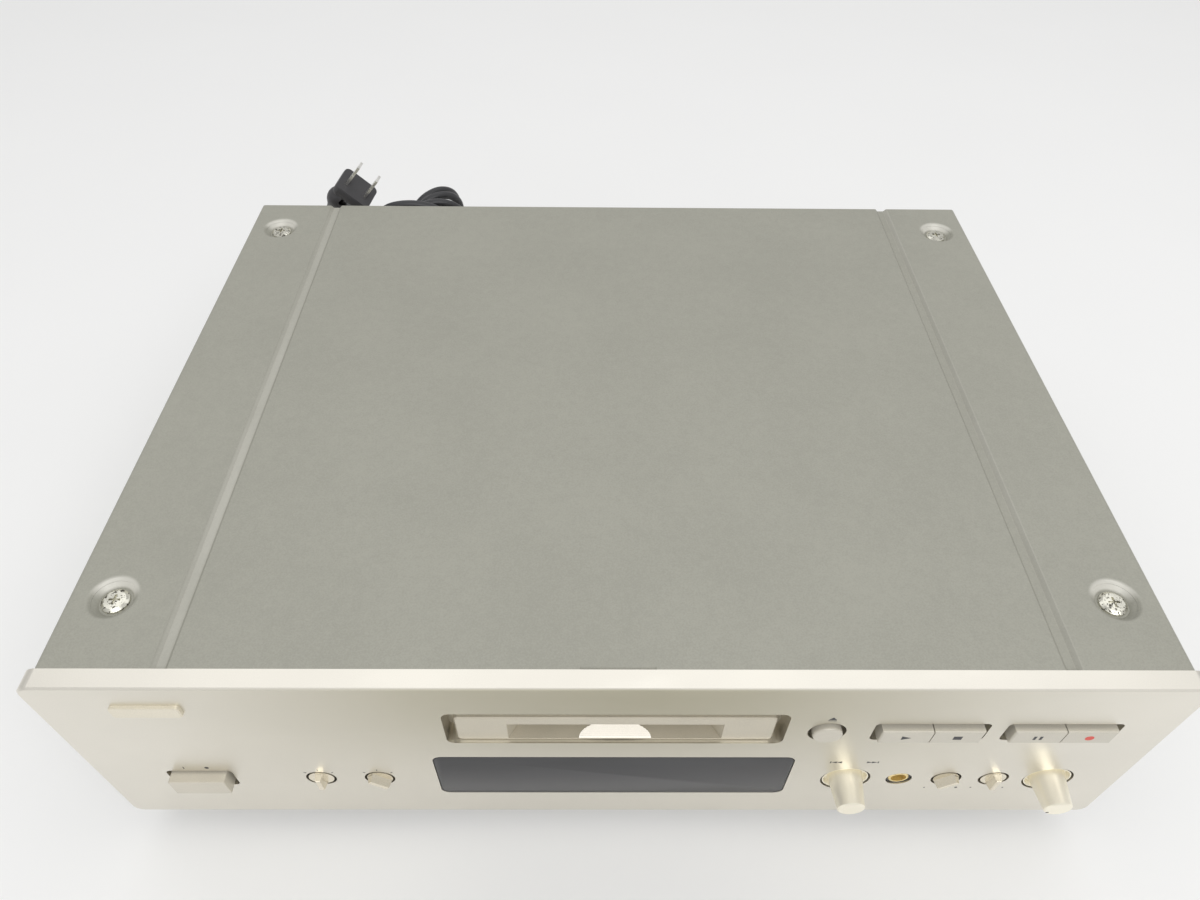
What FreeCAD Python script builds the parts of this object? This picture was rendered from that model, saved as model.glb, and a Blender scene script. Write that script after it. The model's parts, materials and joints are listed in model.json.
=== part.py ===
import FreeCAD, Part
import math
import os

import Sketcher
from FreeCAD import Placement, Rotation, Vector

# Minidisc deck, a full-width hi-fi component. Millimetres.
# Frame: origin on the shelf under the middle of the deck, +X to the right as seen from the front,
# +Y to the back, +Z up. "drop" is a distance below the panel's top edge, "side" a distance from the middle.

SIZES = {
    # front panel
    "panel_width": 434.0,
    "panel_height": 115.5,
    "panel_thickness": 8.2,
    "panel_corner": 5.0,
    "panel_edge": 0.8,
    # cover, chassis and feet
    "cover_width": 426.0,
    "cover_depth": 313.5,
    "cover_wall": 1.2,
    "cover_bend": 2.2,
    "cover_drop": 1.0,
    "cover_gap": 0.6,
    "groove_side": 167.4,
    "groove_top": 6.5,
    "groove_floor": 3.5,
    "groove_depth": 1.5,
    "dish_side": 195.5,
    "dish_front": 30.5,
    "dish_rear": 25.0,
    "dish_rim": 19.0,
    "dish_floor": 12.6,
    "dish_depth": 3.5,
    "notch_width": 28.0,
    "notch_depth": 0.4,
    "notch_slope": 0.7,
    "screw_head": 10.8,
    "screw_head_height": 2.0,
    "screw_shank": 4.0,
    "screw_length": 10.0,
    "foot_height": 14.5,
    "chassis_lift": 1.5,
    "chassis_wall": 1.2,
    "chassis_flange": 24.0,
    "rear_inset": 1.0,
    "foot_width": 52.0,
    "foot_neck": 46.0,
    "foot_side": 165.0,
    "foot_inset": 48.0,
    "pad_width": 38.0,
    "pad_height": 1.5,
    "pad_recess": 1.0,
    # layers behind the panel, measured from the panel's front face
    "flange_space": 2.2,
    "frame_wall": 2.2,
    "board_back": 20.0,
    "board_wall": 1.6,
    "knob_reach": 13.0,
    "jack_reach": 10.0,
    # slot window and its escutcheon
    "window_side": -0.4,
    "slot_width": 132.5,
    "slot_height": 25.0,
    "slot_drop": 19.25,
    "slot_corner": 3.5,
    "block_width": 124.6,
    "block_height": 18.3,
    "block_inset": 1.5,
    "block_lift": 0.15,
    "block_corner": 2.0,
    "mouth_width": 84.4,
    "mouth_height": 12.2,
    "mouth_floor": 1.25,
    "throat_width": 74.0,
    "throat_height": 6.8,
    "throat_depth": 9.8,
    "tunnel_end": 20.0,
    "scoop_width": 28.0,
    "scoop_length": 6.6,
    "scoop_depth": 0.9,
    "shutter_wall": 1.4,
    "shutter_pin": 2.0,
    "shutter_play": 0.05,
    # display window
    "display_width": 149.0,
    "display_height": 37.1,
    "display_drop": 57.4,
    "display_corner": 4.0,
    "display_inset": 0.9,
    "display_wall": 2.2,
    # power button
    "power_side": -174.15,
    "power_drop": 78.55,
    "power_slot_width": 27.5,
    "power_slot_height": 14.3,
    "power_width": 23.4,
    "power_height": 11.6,
    "power_reach": 4.5,
    "power_travel": 3.0,
    # transport buttons, in two pairs
    "pair_left_side": 121.9,
    "pair_right_side": 173.2,
    "pair_drop": 33.75,
    "pair_slot_width": 44.8,
    "pair_slot_height": 14.0,
    "pair_slot_corner": 2.2,
    "key_width": 19.7,
    "key_height": 9.5,
    "key_split": 0.4,
    "key_reach": 2.5,
    "key_travel": 0.9,
    "eject_side": 81.75,
    "eject_drop": 33.9,
    "eject_hole": 15.0,
    "eject_width": 11.6,
    "eject_reach": 2.0,
    # rotary controls
    "large_hole": 21.1,
    "large_skirt": 19.4,
    "skirt_dish": 2.4,
    "large_root": 14.9,
    "large_tip": 11.4,
    "large_drop": 79.15,
    "track_side": 98.75,
    "level_side": 185.6,
    "small_hole": 12.8,
    "small_disc": 10.7,
    "fin_wall": 2.8,
    "fin_taper": 0.9,
    "fin_reach": 3.5,
    "small_drop": 78.8,
    "timer_side": -124.3,
    "input_side": -99.5,
    "phones_side": 141.9,
    "balance_side": 162.25,
    "shaft_width": 6.0,
    "stem_width": 4.4,
    "running_play": 0.05,
    # headphone jack
    "jack_side": 121.7,
    "jack_drop": 79.2,
    "jack_hole": 11.0,
    "jack_nose": 10.4,
    "jack_ring": 8.6,
    "jack_bore": 6.5,
    # nameplate bar
    "name_side": -174.6,
    "name_drop": 16.0,
    "name_width": 26.0,
    "name_height": 7.0,
    "name_reach": 1.6,
    # disc drive
    "drive_start": 36.0,
    "cartridge_width": 72.0,
    "cartridge_depth": 68.0,
    "cartridge_height": 5.0,
    "holder_play": 0.5,
    "holder_wall": 0.8,
    "holder_lip": 6.0,
    "holder_drop": 5.5,
    "slider_travel": 14.0,
    "cam_pin": 3.0,
    "cam_play": 0.2,
    "drive_wall": 1.2,
    "drive_base": 62.0,
    "rod_width": 3.0,
    "rod_side": 17.0,
    "rod_level": 72.0,
    "feed_travel": 16.5,
    "lens_rest": 18.0,
    # boards and rear
    "standoff": 8.0,
    "rca_width": 8.3,
    "rca_pitch_side": 26.0,
    "rca_pitch_level": 18.0,
    "rca_side": 122.0,
    "rca_level": 50.0,
    "cord_side": -168.0,
    "cord_level": 58.0,
    "cord_width": 5.0,
    "relief_reach": 27.0,
}


# ---------------------------------------------------------------- sizes and expressions

doc = FreeCAD.newDocument("minidisc_deck")
sheet = doc.addObject("Spreadsheet::Sheet", "sizes")
for row, (alias, number) in enumerate(SIZES.items(), start=1):
    sheet.set(f"A{row}", alias)
    sheet.set(f"B{row}", str(number))
    sheet.setAlias(f"B{row}", alias)
doc.recompute()


class Dim:
    """A length that carries its value and the sheet expression that gives it."""

    def __init__(self, value, text):
        self.value = float(value)
        self.text = text

    def __add__(self, other):
        other = dim(other)
        return Dim(self.value + other.value, f"({self.text} + {other.text})")

    def __sub__(self, other):
        other = dim(other)
        return Dim(self.value - other.value, f"({self.text} - {other.text})")

    def __mul__(self, other):
        other = dim(other)
        return Dim(self.value * other.value, f"({self.text} * {other.text})")

    def __truediv__(self, other):
        other = dim(other)
        return Dim(self.value / other.value, f"({self.text} / {other.text})")

    def __neg__(self):
        return dim(0) - self

    def __radd__(self, other):
        return dim(other) + self

    def __rsub__(self, other):
        return dim(other) - self

    def __rmul__(self, other):
        return dim(other) * self


def dim(number):
    """Wrap a plain number so that it can stand in an expression."""
    if isinstance(number, Dim):
        return number
    return Dim(number, f"({float(number)!r})")


class Sheet:
    """Reads a size by its alias, as a Dim bound to the sheet."""

    def __getattr__(self, alias):
        return Dim(getattr(sheet, alias), f"sizes.{alias}")


S = Sheet()

# Levels and depths that many sub-parts share.
FRONT = S.knob_reach - (S.knob_reach + S.panel_thickness + S.cover_depth + S.jack_reach) / 2
BEHIND = FRONT + S.panel_thickness
REAR = BEHIND + S.cover_depth
BASE = S.foot_height
TOP = S.foot_height + S.panel_height
FLOOR = S.foot_height + S.chassis_lift
DECK = FLOOR + S.chassis_wall
REAR_OUT = REAR - S.rear_inset
REAR_IN = REAR_OUT - S.chassis_wall
UNDER_COVER = TOP - S.cover_wall
SIDE_OUT = S.cover_width / 2 - S.cover_wall - S.cover_gap
DISH_UNDER = TOP - S.dish_depth - S.cover_wall
FRAME_FRONT = S.panel_thickness + S.flange_space
FRAME_BACK = FRAME_FRONT + S.frame_wall


# ---------------------------------------------------------------- sketch shapes

def hold(sketch, kind, geo, point, place):
    """Hold one coordinate of a sketch point at an expression."""
    place = dim(place)
    index = sketch.addConstraint(Sketcher.Constraint(kind, -1, 1, geo, point, place.value))
    sketch.setExpression(f"Constraints[{index}]", place.text)


def size(sketch, kind, geo, length):
    """Set a radius or a diameter to an expression."""
    length = dim(length)
    index = sketch.addConstraint(Sketcher.Constraint(kind, geo, length.value))
    sketch.setExpression(f"Constraints[{index}]", length.text)


class Circle:
    """A circle by its centre and diameter."""

    def __init__(self, across, up, width):
        self.across, self.up, self.width = dim(across), dim(up), dim(width)

    def draw(self, sketch):
        centre = Vector(self.across.value, self.up.value, 0)
        circle = Part.Circle(centre, Vector(0, 0, 1), self.width.value / 2)
        geo = sketch.addGeometry(circle, False)
        hold(sketch, "DistanceX", geo, 3, self.across)
        hold(sketch, "DistanceY", geo, 3, self.up)
        size(sketch, "Diameter", geo, self.width)


class Outline:
    """A closed polygon through the given corners."""

    def __init__(self, *corners):
        self.corners = [(dim(a), dim(b)) for a, b in corners]

    def draw(self, sketch):
        points = [Vector(a.value, b.value, 0) for a, b in self.corners]
        lines = [Part.LineSegment(points[i - 1], points[i]) for i in range(len(points))]
        geos = sketch.addGeometry(lines, False)
        for i, geo in enumerate(geos):
            follower = geos[(i + 1) % len(geos)]
            sketch.addConstraint(Sketcher.Constraint("Coincident", geo, 2, follower, 1))
            hold(sketch, "DistanceX", geo, 2, self.corners[i][0])
            hold(sketch, "DistanceY", geo, 2, self.corners[i][1])


def Box(left, right, low, high):
    """A rectangle between two sides and two levels."""
    return Outline((left, low), (right, low), (right, high), (left, high))


def Centred(across, up, width, height):
    """A rectangle by its centre."""
    across, up, width, height = dim(across), dim(up), dim(width), dim(height)
    return Box(across - width / 2, across + width / 2, up - height / 2, up + height / 2)


class Rounded:
    """A rectangle by its centre, with one corner radius."""

    def __init__(self, across, up, width, height, corner):
        self.across, self.up, self.corner = dim(across), dim(up), dim(corner)
        self.width, self.height = dim(width), dim(height)

    def draw(self, sketch):
        left, right = self.across - self.width / 2, self.across + self.width / 2
        low, high = self.up - self.height / 2, self.up + self.height / 2
        a, b, c, d, r = left.value, right.value, low.value, high.value, self.corner.value
        ends = [((a + r, c), (b - r, c)), ((b, c + r), (b, d - r)),
                ((b - r, d), (a + r, d)), ((a, d - r), (a, c + r))]
        lines = sketch.addGeometry([Part.LineSegment(Vector(*p), Vector(*q)) for p, q in ends], False)
        arcs = []
        quarters = [((b - r, c + r), -90), ((b - r, d - r), 0), ((a + r, d - r), 90), ((a + r, c + r), 180)]
        for (x, y), turn in quarters:
            circle = Part.Circle(Vector(x, y, 0), Vector(0, 0, 1), r)
            arc = Part.ArcOfCircle(circle, math.radians(turn), math.radians(turn + 90))
            arcs.append(sketch.addGeometry(arc, False))
        for k in range(4):
            sketch.addConstraint(Sketcher.Constraint("Tangent", lines[k], 2, arcs[k], 1))
            sketch.addConstraint(Sketcher.Constraint("Tangent", arcs[k], 2, lines[(k + 1) % 4], 1))
            sketch.addConstraint(Sketcher.Constraint("Vertical" if k % 2 else "Horizontal", lines[k]))
        for arc in arcs[1:]:
            sketch.addConstraint(Sketcher.Constraint("Equal", arcs[0], arc))
        size(sketch, "Radius", arcs[0], self.corner)
        hold(sketch, "DistanceY", lines[0], 1, low)
        hold(sketch, "DistanceX", lines[1], 1, right)
        hold(sketch, "DistanceY", lines[2], 1, high)
        hold(sketch, "DistanceX", lines[3], 1, left)


# ---------------------------------------------------------------- bodies and features

PIECES = []

# Turns for a body whose own +Z points out of the front, or out of the back.
FACING_FRONT = Rotation(Vector(1, 0, 0), 90)
FACING_REAR = Rotation(Vector(1, 0, 0), -90)
FACING_SIDE = Rotation(Vector(0, 1, 0), 90)


class Piece:
    """One sub-part: a PartDesign body that is named, placed and built up by features."""

    def __init__(self, name, at=(0, 0, 0), turn=None):
        self.name = name
        self.body = doc.addObject("PartDesign::Body", name)
        self.body.Label = name
        if turn is not None:
            self.body.Placement = Placement(Vector(0, 0, 0), turn)
        for axis, place in zip("xyz", at):
            self.body.setExpression(f"Placement.Base.{axis}", dim(place).text)
        PIECES.append(self.body)

    def origin(self, role):
        """The body's own origin plane or axis with this role."""
        return next(item for item in self.body.Origin.OriginFeatures if item.Role == role)

    def sketch(self, plane, offset, shapes):
        """Draw shapes on an origin plane, moved along the plane's own axis to an offset."""
        sketch = self.body.newObject("Sketcher::SketchObject", f"{self.name}_sketch")
        sketch.AttachmentSupport = [(self.origin(f"{plane}_Plane"), "")]
        sketch.MapMode = "FlatFace"
        offset = -dim(offset) if plane == "XZ" else dim(offset)
        sketch.setExpression("AttachmentOffset.Base.z", offset.text)
        for shape in shapes:
            shape.draw(sketch)
        return sketch

    def add(self, kind, label):
        """Add a feature and make it the body's tip."""
        feature = self.body.newObject(f"PartDesign::{kind}", f"{self.name}_{label}")
        self.body.Tip = feature
        return feature

    def pad(self, plane, start, length, *shapes):
        """Extrude shapes from start along the plane's +X, +Y or +Z."""
        sketch = self.sketch(plane, start, shapes)
        feature = self.add("Pad", "pad")
        feature.Profile = sketch
        feature.setExpression("Length", dim(length).text)
        feature.Reversed = plane == "XZ"
        return feature

    def cut(self, plane, start, length, *shapes):
        """Cut shapes from start along the plane's +X, +Y or +Z."""
        sketch = self.sketch(plane, start, shapes)
        feature = self.add("Pocket", "pocket")
        feature.Profile = sketch
        feature.setExpression("Length", dim(length).text)
        feature.Reversed = plane != "XZ"
        return feature

    def revolve(self, kind, shape, axis="Z", plane="XZ"):
        """Turn a half profile a full circle about one of the body's own axes."""
        sketch = self.sketch(plane, 0, [shape])
        feature = self.add(kind, kind.lower())
        feature.Profile = sketch
        feature.ReferenceAxis = (self.origin(f"{axis}_Axis"), [""])
        feature.Angle = 360
        return feature

    def lathe(self, *corners):
        """A turned solid from its (radius, height) corners."""
        return self.revolve("Revolution", Outline(*corners))

    def bore(self, *corners):
        """A turned hollow from its (radius, height) corners."""
        return self.revolve("Groove", Outline(*corners))

    def repeat(self, features, axis, length, count, second=None):
        """Repeat features in a row, or in a grid when a second direction is given."""
        pattern = self.add("LinearPattern", "pattern")
        pattern.Originals = features
        pattern.Direction = (self.origin(f"{axis}_Axis"), [""])
        pattern.setExpression("Length", dim(length).text)
        pattern.Occurrences = count
        if second:
            other, reach, number = second
            pattern.Direction2 = (self.origin(f"{other}_Axis"), [""])
            pattern.setExpression("Length2", dim(reach).text)
            pattern.Occurrences2 = number
        return pattern

    def ring(self, features, count):
        """Repeat features all the way round the body's own Z axis."""
        pattern = self.add("PolarPattern", "ring")
        pattern.Originals = features
        pattern.Axis = (self.origin("Z_Axis"), [""])
        pattern.Angle = 360
        pattern.Occurrences = count
        return pattern

    def loft(self, kind, label, *sections):
        """Join flat sections, each a plane offset along Z and its shape, by straight sides."""
        sketches = [self.sketch("XY", offset, [shape]) for offset, shape in sections]
        feature = self.add(kind, label)
        feature.Profile = sketches[0]
        feature.Sections = sketches[1:]
        feature.Ruled = True
        return feature

    def dress(self, kind, length, chosen):
        """Fillet or chamfer the edges that the test picks from the body as it stands."""
        doc.recompute()
        base = self.body.Tip
        names = [f"Edge{i}" for i, edge in enumerate(base.Shape.Edges, start=1) if chosen(edge)]
        feature = self.add(kind, kind.lower())
        feature.Base = (base, names)
        feature.setExpression("Radius" if kind == "Fillet" else "Size", dim(length).text)
        return feature


def near(value, place, slack=0.01):
    """True when a coordinate lies at a place."""
    return abs(value - dim(place).value) < slack


def along(edge, axis):
    """True when a straight edge runs along an axis, 0 for X, 1 for Y, 2 for Z."""
    if edge.Curve.TypeId != "Part::GeomLine":
        return False
    direction = edge.Curve.Direction
    return abs(abs(direction[axis]) - 1) < 1e-6


# ---------------------------------------------------------------- front panel and its windows

def drop(distance):
    """A height in the panel's own frame, from a distance below its top edge."""
    return S.panel_height - distance


def front_panel():
    """Thick plate with every window, slot and hole of the controls."""
    panel = Piece("front_panel", at=(0, FRONT, BASE))
    face = Rounded(0, S.panel_height / 2, S.panel_width, S.panel_height, S.panel_corner)
    panel.pad("XZ", 0, S.panel_thickness, face)
    slot_mid = drop(S.slot_drop + S.slot_height / 2)
    display_mid = drop(S.display_drop + S.display_height / 2)
    corner = S.pair_slot_corner
    slots = [
        Rounded(S.window_side, slot_mid, S.slot_width, S.slot_height, S.slot_corner),
        Rounded(S.window_side, display_mid, S.display_width, S.display_height, S.display_corner),
        Rounded(S.power_side, drop(S.power_drop), S.power_slot_width, S.power_slot_height, corner),
        Circle(S.eject_side, drop(S.eject_drop), S.eject_hole),
        Circle(S.jack_side, drop(S.jack_drop), S.jack_hole),
    ]
    for side in (S.pair_left_side, S.pair_right_side):
        slots.append(Rounded(side, drop(S.pair_drop), S.pair_slot_width, S.pair_slot_height, corner))
    for side in (S.track_side, S.level_side):
        slots.append(Circle(side, drop(S.large_drop), S.large_hole))
    for side in (S.timer_side, S.input_side, S.phones_side, S.balance_side):
        slots.append(Circle(side, drop(S.small_drop), S.small_hole))
    panel.cut("XZ", -1, S.panel_thickness + 2, *slots)
    half, high, round_end = S.panel_width.value / 2, S.panel_height.value, S.panel_corner.value

    def rim(edge):
        """Outer edges of the front face."""
        centre = edge.CenterOfMass
        at_side = abs(centre.x) > half - round_end
        at_level = centre.z < round_end or centre.z > high - round_end
        return near(edge.BoundBox.YMax, 0) and (at_side or at_level)

    panel.dress("Chamfer", S.panel_edge, rim)


def slot_escutcheon():
    """Moulded surround of the disc slot: sill block, funnel mouth, finger scoop and shutter lugs."""
    block_back = S.tunnel_end
    piece = Piece("slot_escutcheon", at=(S.window_side, FRONT, TOP - S.slot_drop - S.slot_height))
    flange = Rounded(0, S.slot_height / 2, S.slot_width + 9, S.slot_height + 9, S.slot_corner)
    piece.pad("XZ", S.panel_thickness, S.flange_space, flange)
    block_mid = S.block_lift + S.block_height / 2
    block = Rounded(0, block_mid, S.block_width, S.block_height, S.block_corner)
    piece.pad("XZ", S.block_inset, S.panel_thickness - S.block_inset, block)
    tunnel_mid = S.mouth_floor + S.throat_height / 2
    tunnel = Centred(0, tunnel_mid, S.throat_width + 6, S.throat_height + 4)
    piece.pad("XZ", FRAME_FRONT, block_back - FRAME_FRONT, tunnel)
    piece.cut("XZ", S.block_inset - 1, block_back, Centred(0, tunnel_mid, S.throat_width, S.throat_height))
    mouth_mid = S.mouth_floor + S.mouth_height / 2
    mouth = piece.sketch("XZ", S.block_inset, [Centred(0, mouth_mid, S.mouth_width, S.mouth_height)])
    throat = piece.sketch("XZ", S.throat_depth, [Centred(0, tunnel_mid, S.throat_width, S.throat_height)])
    funnel = piece.add("SubtractiveLoft", "funnel")
    funnel.Profile = mouth
    funnel.Sections = [throat]
    funnel.Ruled = True
    scoop = piece.add("SubtractiveEllipsoid", "scoop")
    scoop.setExpression("Radius2", (S.scoop_width / 2).text)
    scoop.setExpression("Radius3", S.scoop_length.text)
    scoop.setExpression("Radius1", S.scoop_depth.text)
    scoop.setExpression("AttachmentOffset.Base.y", S.block_inset.text)
    scoop.setExpression("AttachmentOffset.Base.z", S.mouth_floor.text)
    for hand in (-1, 1):
        inner = hand * (S.throat_width / 2 + 0.2)
        lug = Box(block_back, block_back + 6, S.mouth_floor + 4, S.mouth_floor + 10)
        if hand > 0:
            piece.pad("YZ", inner, 2.6, lug)
        else:
            piece.pad("YZ", inner - 2.6, 2.6, lug)
    pivot = Circle(block_back + 3, S.mouth_floor + 7, S.shutter_pin + 2 * S.shutter_play)
    piece.cut("YZ", -(S.throat_width / 2 + 4), S.throat_width + 8, pivot)

    def front_rim(edge):
        """Front outline of the sill block."""
        box = edge.BoundBox
        outside = abs(edge.CenterOfMass.x) > S.mouth_width.value / 2 + 1 or edge.CenterOfMass.z > 16
        return near(box.YMax, S.block_inset) and near(box.YMin, S.block_inset) and outside

    piece.dress("Chamfer", 0.6, front_rim)


def slot_shutter():
    """Flap that hangs on two moulded pins behind the slot and swings inwards."""
    piece = Piece("slot_shutter", at=(S.window_side, FRONT + S.tunnel_end + 3,
                                      TOP - S.slot_drop - S.slot_height + S.mouth_floor + 7))
    half = S.throat_width / 2
    piece.pad("YZ", -half, S.throat_width, Circle(0, 0, S.shutter_pin + 1.2))
    piece.pad("YZ", -half, S.throat_width, Box(-S.shutter_wall, 0, -7.2, 0))
    piece.pad("YZ", -(half + 2.6), S.throat_width + 5.2, Circle(0, 0, S.shutter_pin))


def display_window():
    """Smoked lens, hollow behind, with a flange held between panel and frame."""
    middle = TOP - S.display_drop - S.display_height / 2
    piece = Piece("display_window", at=(S.window_side, FRONT, middle))
    lens = Rounded(0, 0, S.display_width - 0.3, S.display_height - 0.3, S.display_corner)
    piece.pad("XZ", S.display_inset, FRAME_FRONT - S.display_inset, lens)
    flange = Rounded(0, 0, S.display_width + 7, S.display_height + 3, S.display_corner)
    piece.pad("XZ", S.panel_thickness, S.flange_space, flange)
    hollow = Rounded(0, 0, S.display_width - 8, S.display_height - 6, S.display_corner / 2)
    depth = S.display_inset + S.display_wall
    piece.cut("XZ", depth, FRAME_FRONT - depth + 1, hollow)


def nameplate():
    """Plain raised bar in the panel's upper left corner."""
    piece = Piece("nameplate", at=(S.name_side, FRONT, TOP - S.name_drop), turn=FACING_FRONT)
    piece.pad("XY", 0, S.name_reach, Rounded(0, 0, S.name_width, S.name_height, 1.4))
    piece.dress("Chamfer", 0.4, lambda edge: near(edge.BoundBox.ZMin, S.name_reach))


# ---------------------------------------------------------------- buttons

def power_button():
    """Sharp-edged rectangular cap with a retaining flange and a long stem."""
    piece = Piece("power_button", at=(S.power_side, FRONT, TOP - S.power_drop), turn=FACING_FRONT)
    back = S.panel_thickness + 0.1
    piece.pad("XY", -back, back + S.power_reach, Rounded(0, 0, S.power_width, S.power_height, 0.6))
    piece.pad("XY", -(back + 1.2), 1.2, Centred(0, 0, S.power_slot_width + 4, S.power_slot_height + 4))
    piece.pad("XY", -30, 30 - back - 1.2, Centred(0, 0, 5, 5))
    piece.dress("Fillet", 0.4, lambda edge: near(edge.BoundBox.ZMin, S.power_reach))


def key(name, side, hand):
    """One half of a transport pair: a cap with its outer corners rounded, a flange and a stem."""
    middle = side + hand * (S.key_width + S.key_split) / 2
    piece = Piece(name, at=(middle, FRONT, TOP - S.pair_drop), turn=FACING_FRONT)
    back = S.panel_thickness + 0.1
    piece.pad("XY", -back, back + S.key_reach, Centred(0, 0, S.key_width, S.key_height))
    outer = (S.pair_slot_width - S.key_split) / 2
    inner = S.key_width / 2
    flange = Box(-inner, outer - inner + 1.6, -S.pair_slot_height / 2 - 1.6, S.pair_slot_height / 2 + 1.6)
    if hand < 0:
        flange = Box(inner - outer - 1.6, inner, -S.pair_slot_height / 2 - 1.6, S.pair_slot_height / 2 + 1.6)
    piece.pad("XY", -(back + 1), 1, flange)
    piece.pad("XY", -(back + 6), 5, Centred(0, 0, 4, 4))

    def cap_rim(edge):
        """Front edges of the cap, apart from the one at the split."""
        centre = edge.CenterOfMass
        return near(edge.BoundBox.ZMin, S.key_reach) and not near(centre.x, -hand * inner.value)

    piece.dress("Fillet", 0.9, cap_rim)


def eject_button():
    """Round cap with a softened rim, a flange and a stem."""
    piece = Piece("eject_button", at=(S.eject_side, FRONT, TOP - S.eject_drop), turn=FACING_FRONT)
    back = S.panel_thickness + 0.1
    cap, flange = S.eject_width / 2, S.eject_hole / 2 + 1.5
    piece.lathe((0, -(back + 6)), (2, -(back + 6)), (2, -(back + 1)), (flange, -(back + 1)), (flange, -back),
                (cap, -back), (cap, S.eject_reach), (0, S.eject_reach))
    piece.dress("Fillet", 1.0, lambda edge: near(edge.BoundBox.ZMin, S.eject_reach))


# ---------------------------------------------------------------- rotary controls

SHAFT_TIP = 8.0
SHAFT_END = 18.0
POT_FRONT = 14.5


def large_knob(name, side):
    """Tapered metal knob on a dished skirt whose rim stands just inside the panel's hole."""
    piece = Piece(name, at=(side, FRONT, TOP - S.large_drop), turn=FACING_FRONT)
    reach, rim, dish = S.knob_reach, S.large_skirt / 2, S.skirt_dish
    piece.lathe((0, -6), (rim, -6), (rim, -0.35), (rim - 0.45, -0.35), (rim - 1.3, -dish),
                (S.large_root / 2, -dish), (S.large_tip / 2, reach), (0, reach))
    piece.bore((0, -6.5), (S.shaft_width / 2, -6.5), (S.shaft_width / 2, SHAFT_TIP), (0, SHAFT_TIP))
    piece.dress("Chamfer", 0.5, lambda edge: near(edge.BoundBox.ZMin, reach))


def shaft(name, side):
    """Round shaft from a rotary control into its knob."""
    piece = Piece(name, at=(side, FRONT, TOP - S.large_drop), turn=FACING_FRONT)
    radius = S.shaft_width / 2
    piece.lathe((0, -SHAFT_END), (radius, -SHAFT_END), (radius, SHAFT_TIP), (0, SHAFT_TIP))
    piece.dress("Chamfer", 0.4, lambda edge: near(edge.BoundBox.ZMin, SHAFT_TIP))


def small_knob(name, side, spin):
    """Disc with a finger bar across it and a stem that turns the control."""
    turn = FACING_FRONT.multiply(Rotation(Vector(0, 0, 1), spin))
    piece = Piece(name, at=(side, FRONT, TOP - S.small_drop), turn=turn)
    disc, stem = S.small_disc / 2, S.stem_width / 2
    piece.lathe((0, -17), (stem, -17), (stem, -6), (disc, -6), (disc, 0), (0, 0))
    foot = Centred(0, 0, S.fin_wall + S.fin_taper, S.small_disc - 0.7)
    ridge = Centred(0, 0, S.fin_wall - S.fin_taper, S.small_disc - 1.7)
    piece.loft("AdditiveLoft", "bar", (-0.5, foot), (S.fin_reach, ridge))
    piece.dress("Fillet", 0.5, lambda edge: near(edge.BoundBox.ZMin, S.fin_reach))


def rotary_controls():
    """The six controls on the board, each a square case with a threaded collar and a bore."""
    places = [(side, S.large_drop, S.shaft_width, 16) for side in (S.track_side, S.level_side)]
    places += [(side, S.small_drop, S.stem_width, 11) for side in
               (S.timer_side, S.input_side, S.phones_side, S.balance_side)]
    piece = Piece("rotary_controls", at=(0, FRONT, TOP), turn=FACING_FRONT)
    cases = [Centred(side, -level, width, width + 2) for side, level, _, width in places]
    collars = [Circle(side, -level, hole + 3) for side, level, hole, _ in places]
    bores = [Circle(side, -level, hole + 2 * S.running_play) for side, level, hole, _ in places]
    piece.pad("XY", -S.board_back, S.board_back - POT_FRONT, *cases)
    piece.pad("XY", -POT_FRONT, POT_FRONT - FRAME_FRONT - 0.4, *collars)
    piece.cut("XY", -(SHAFT_END + 0.3), SHAFT_END, *bores)


# ---------------------------------------------------------------- headphone jack

def headphone_jack():
    """Black socket body with a round nose in the panel's hole."""
    piece = Piece("headphone_jack", at=(S.jack_side, FRONT, TOP - S.jack_drop), turn=FACING_FRONT)
    nose, ring = S.jack_nose / 2, S.jack_ring / 2
    piece.pad("XY", -(FRAME_BACK + 26), 26, Centred(0, 0, 15, 13))
    piece.lathe((0, -FRAME_BACK - 1), (nose, -FRAME_BACK - 1), (nose, -0.7), (0, -0.7))
    piece.bore((0, -FRAME_BACK), (ring, -FRAME_BACK), (ring, 0), (0, 0))
    hollow, end = S.jack_bore / 2 + 0.2, -FRAME_BACK - 23
    piece.bore((0, end), (hollow, end), (hollow, 0), (0, 0))


def jack_bushing():
    """Brass sleeve that guides the plug."""
    piece = Piece("jack_bushing", at=(S.jack_side, FRONT, TOP - S.jack_drop), turn=FACING_FRONT)
    ring, bore = S.jack_ring / 2, S.jack_bore / 2
    piece.lathe((bore, -FRAME_BACK), (ring, -FRAME_BACK), (ring, -0.4), (bore, -0.4))
    wider = bore.value + 0.1
    piece.dress("Chamfer", 0.3, lambda edge: near(edge.BoundBox.ZMin, -0.4) and edge.Curve.Radius > wider)


# ---------------------------------------------------------------- frame and boards behind the panel

# Posts of the front frame that carry the control board: side and drop.
FRAME_POSTS = [(-198, 58), (-198, 100), (-90, 58), (-90, 103), (82, 62), (82, 103), (198, 50), (198, 103),
               (103, 17.5), (196, 17.5)]


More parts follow.
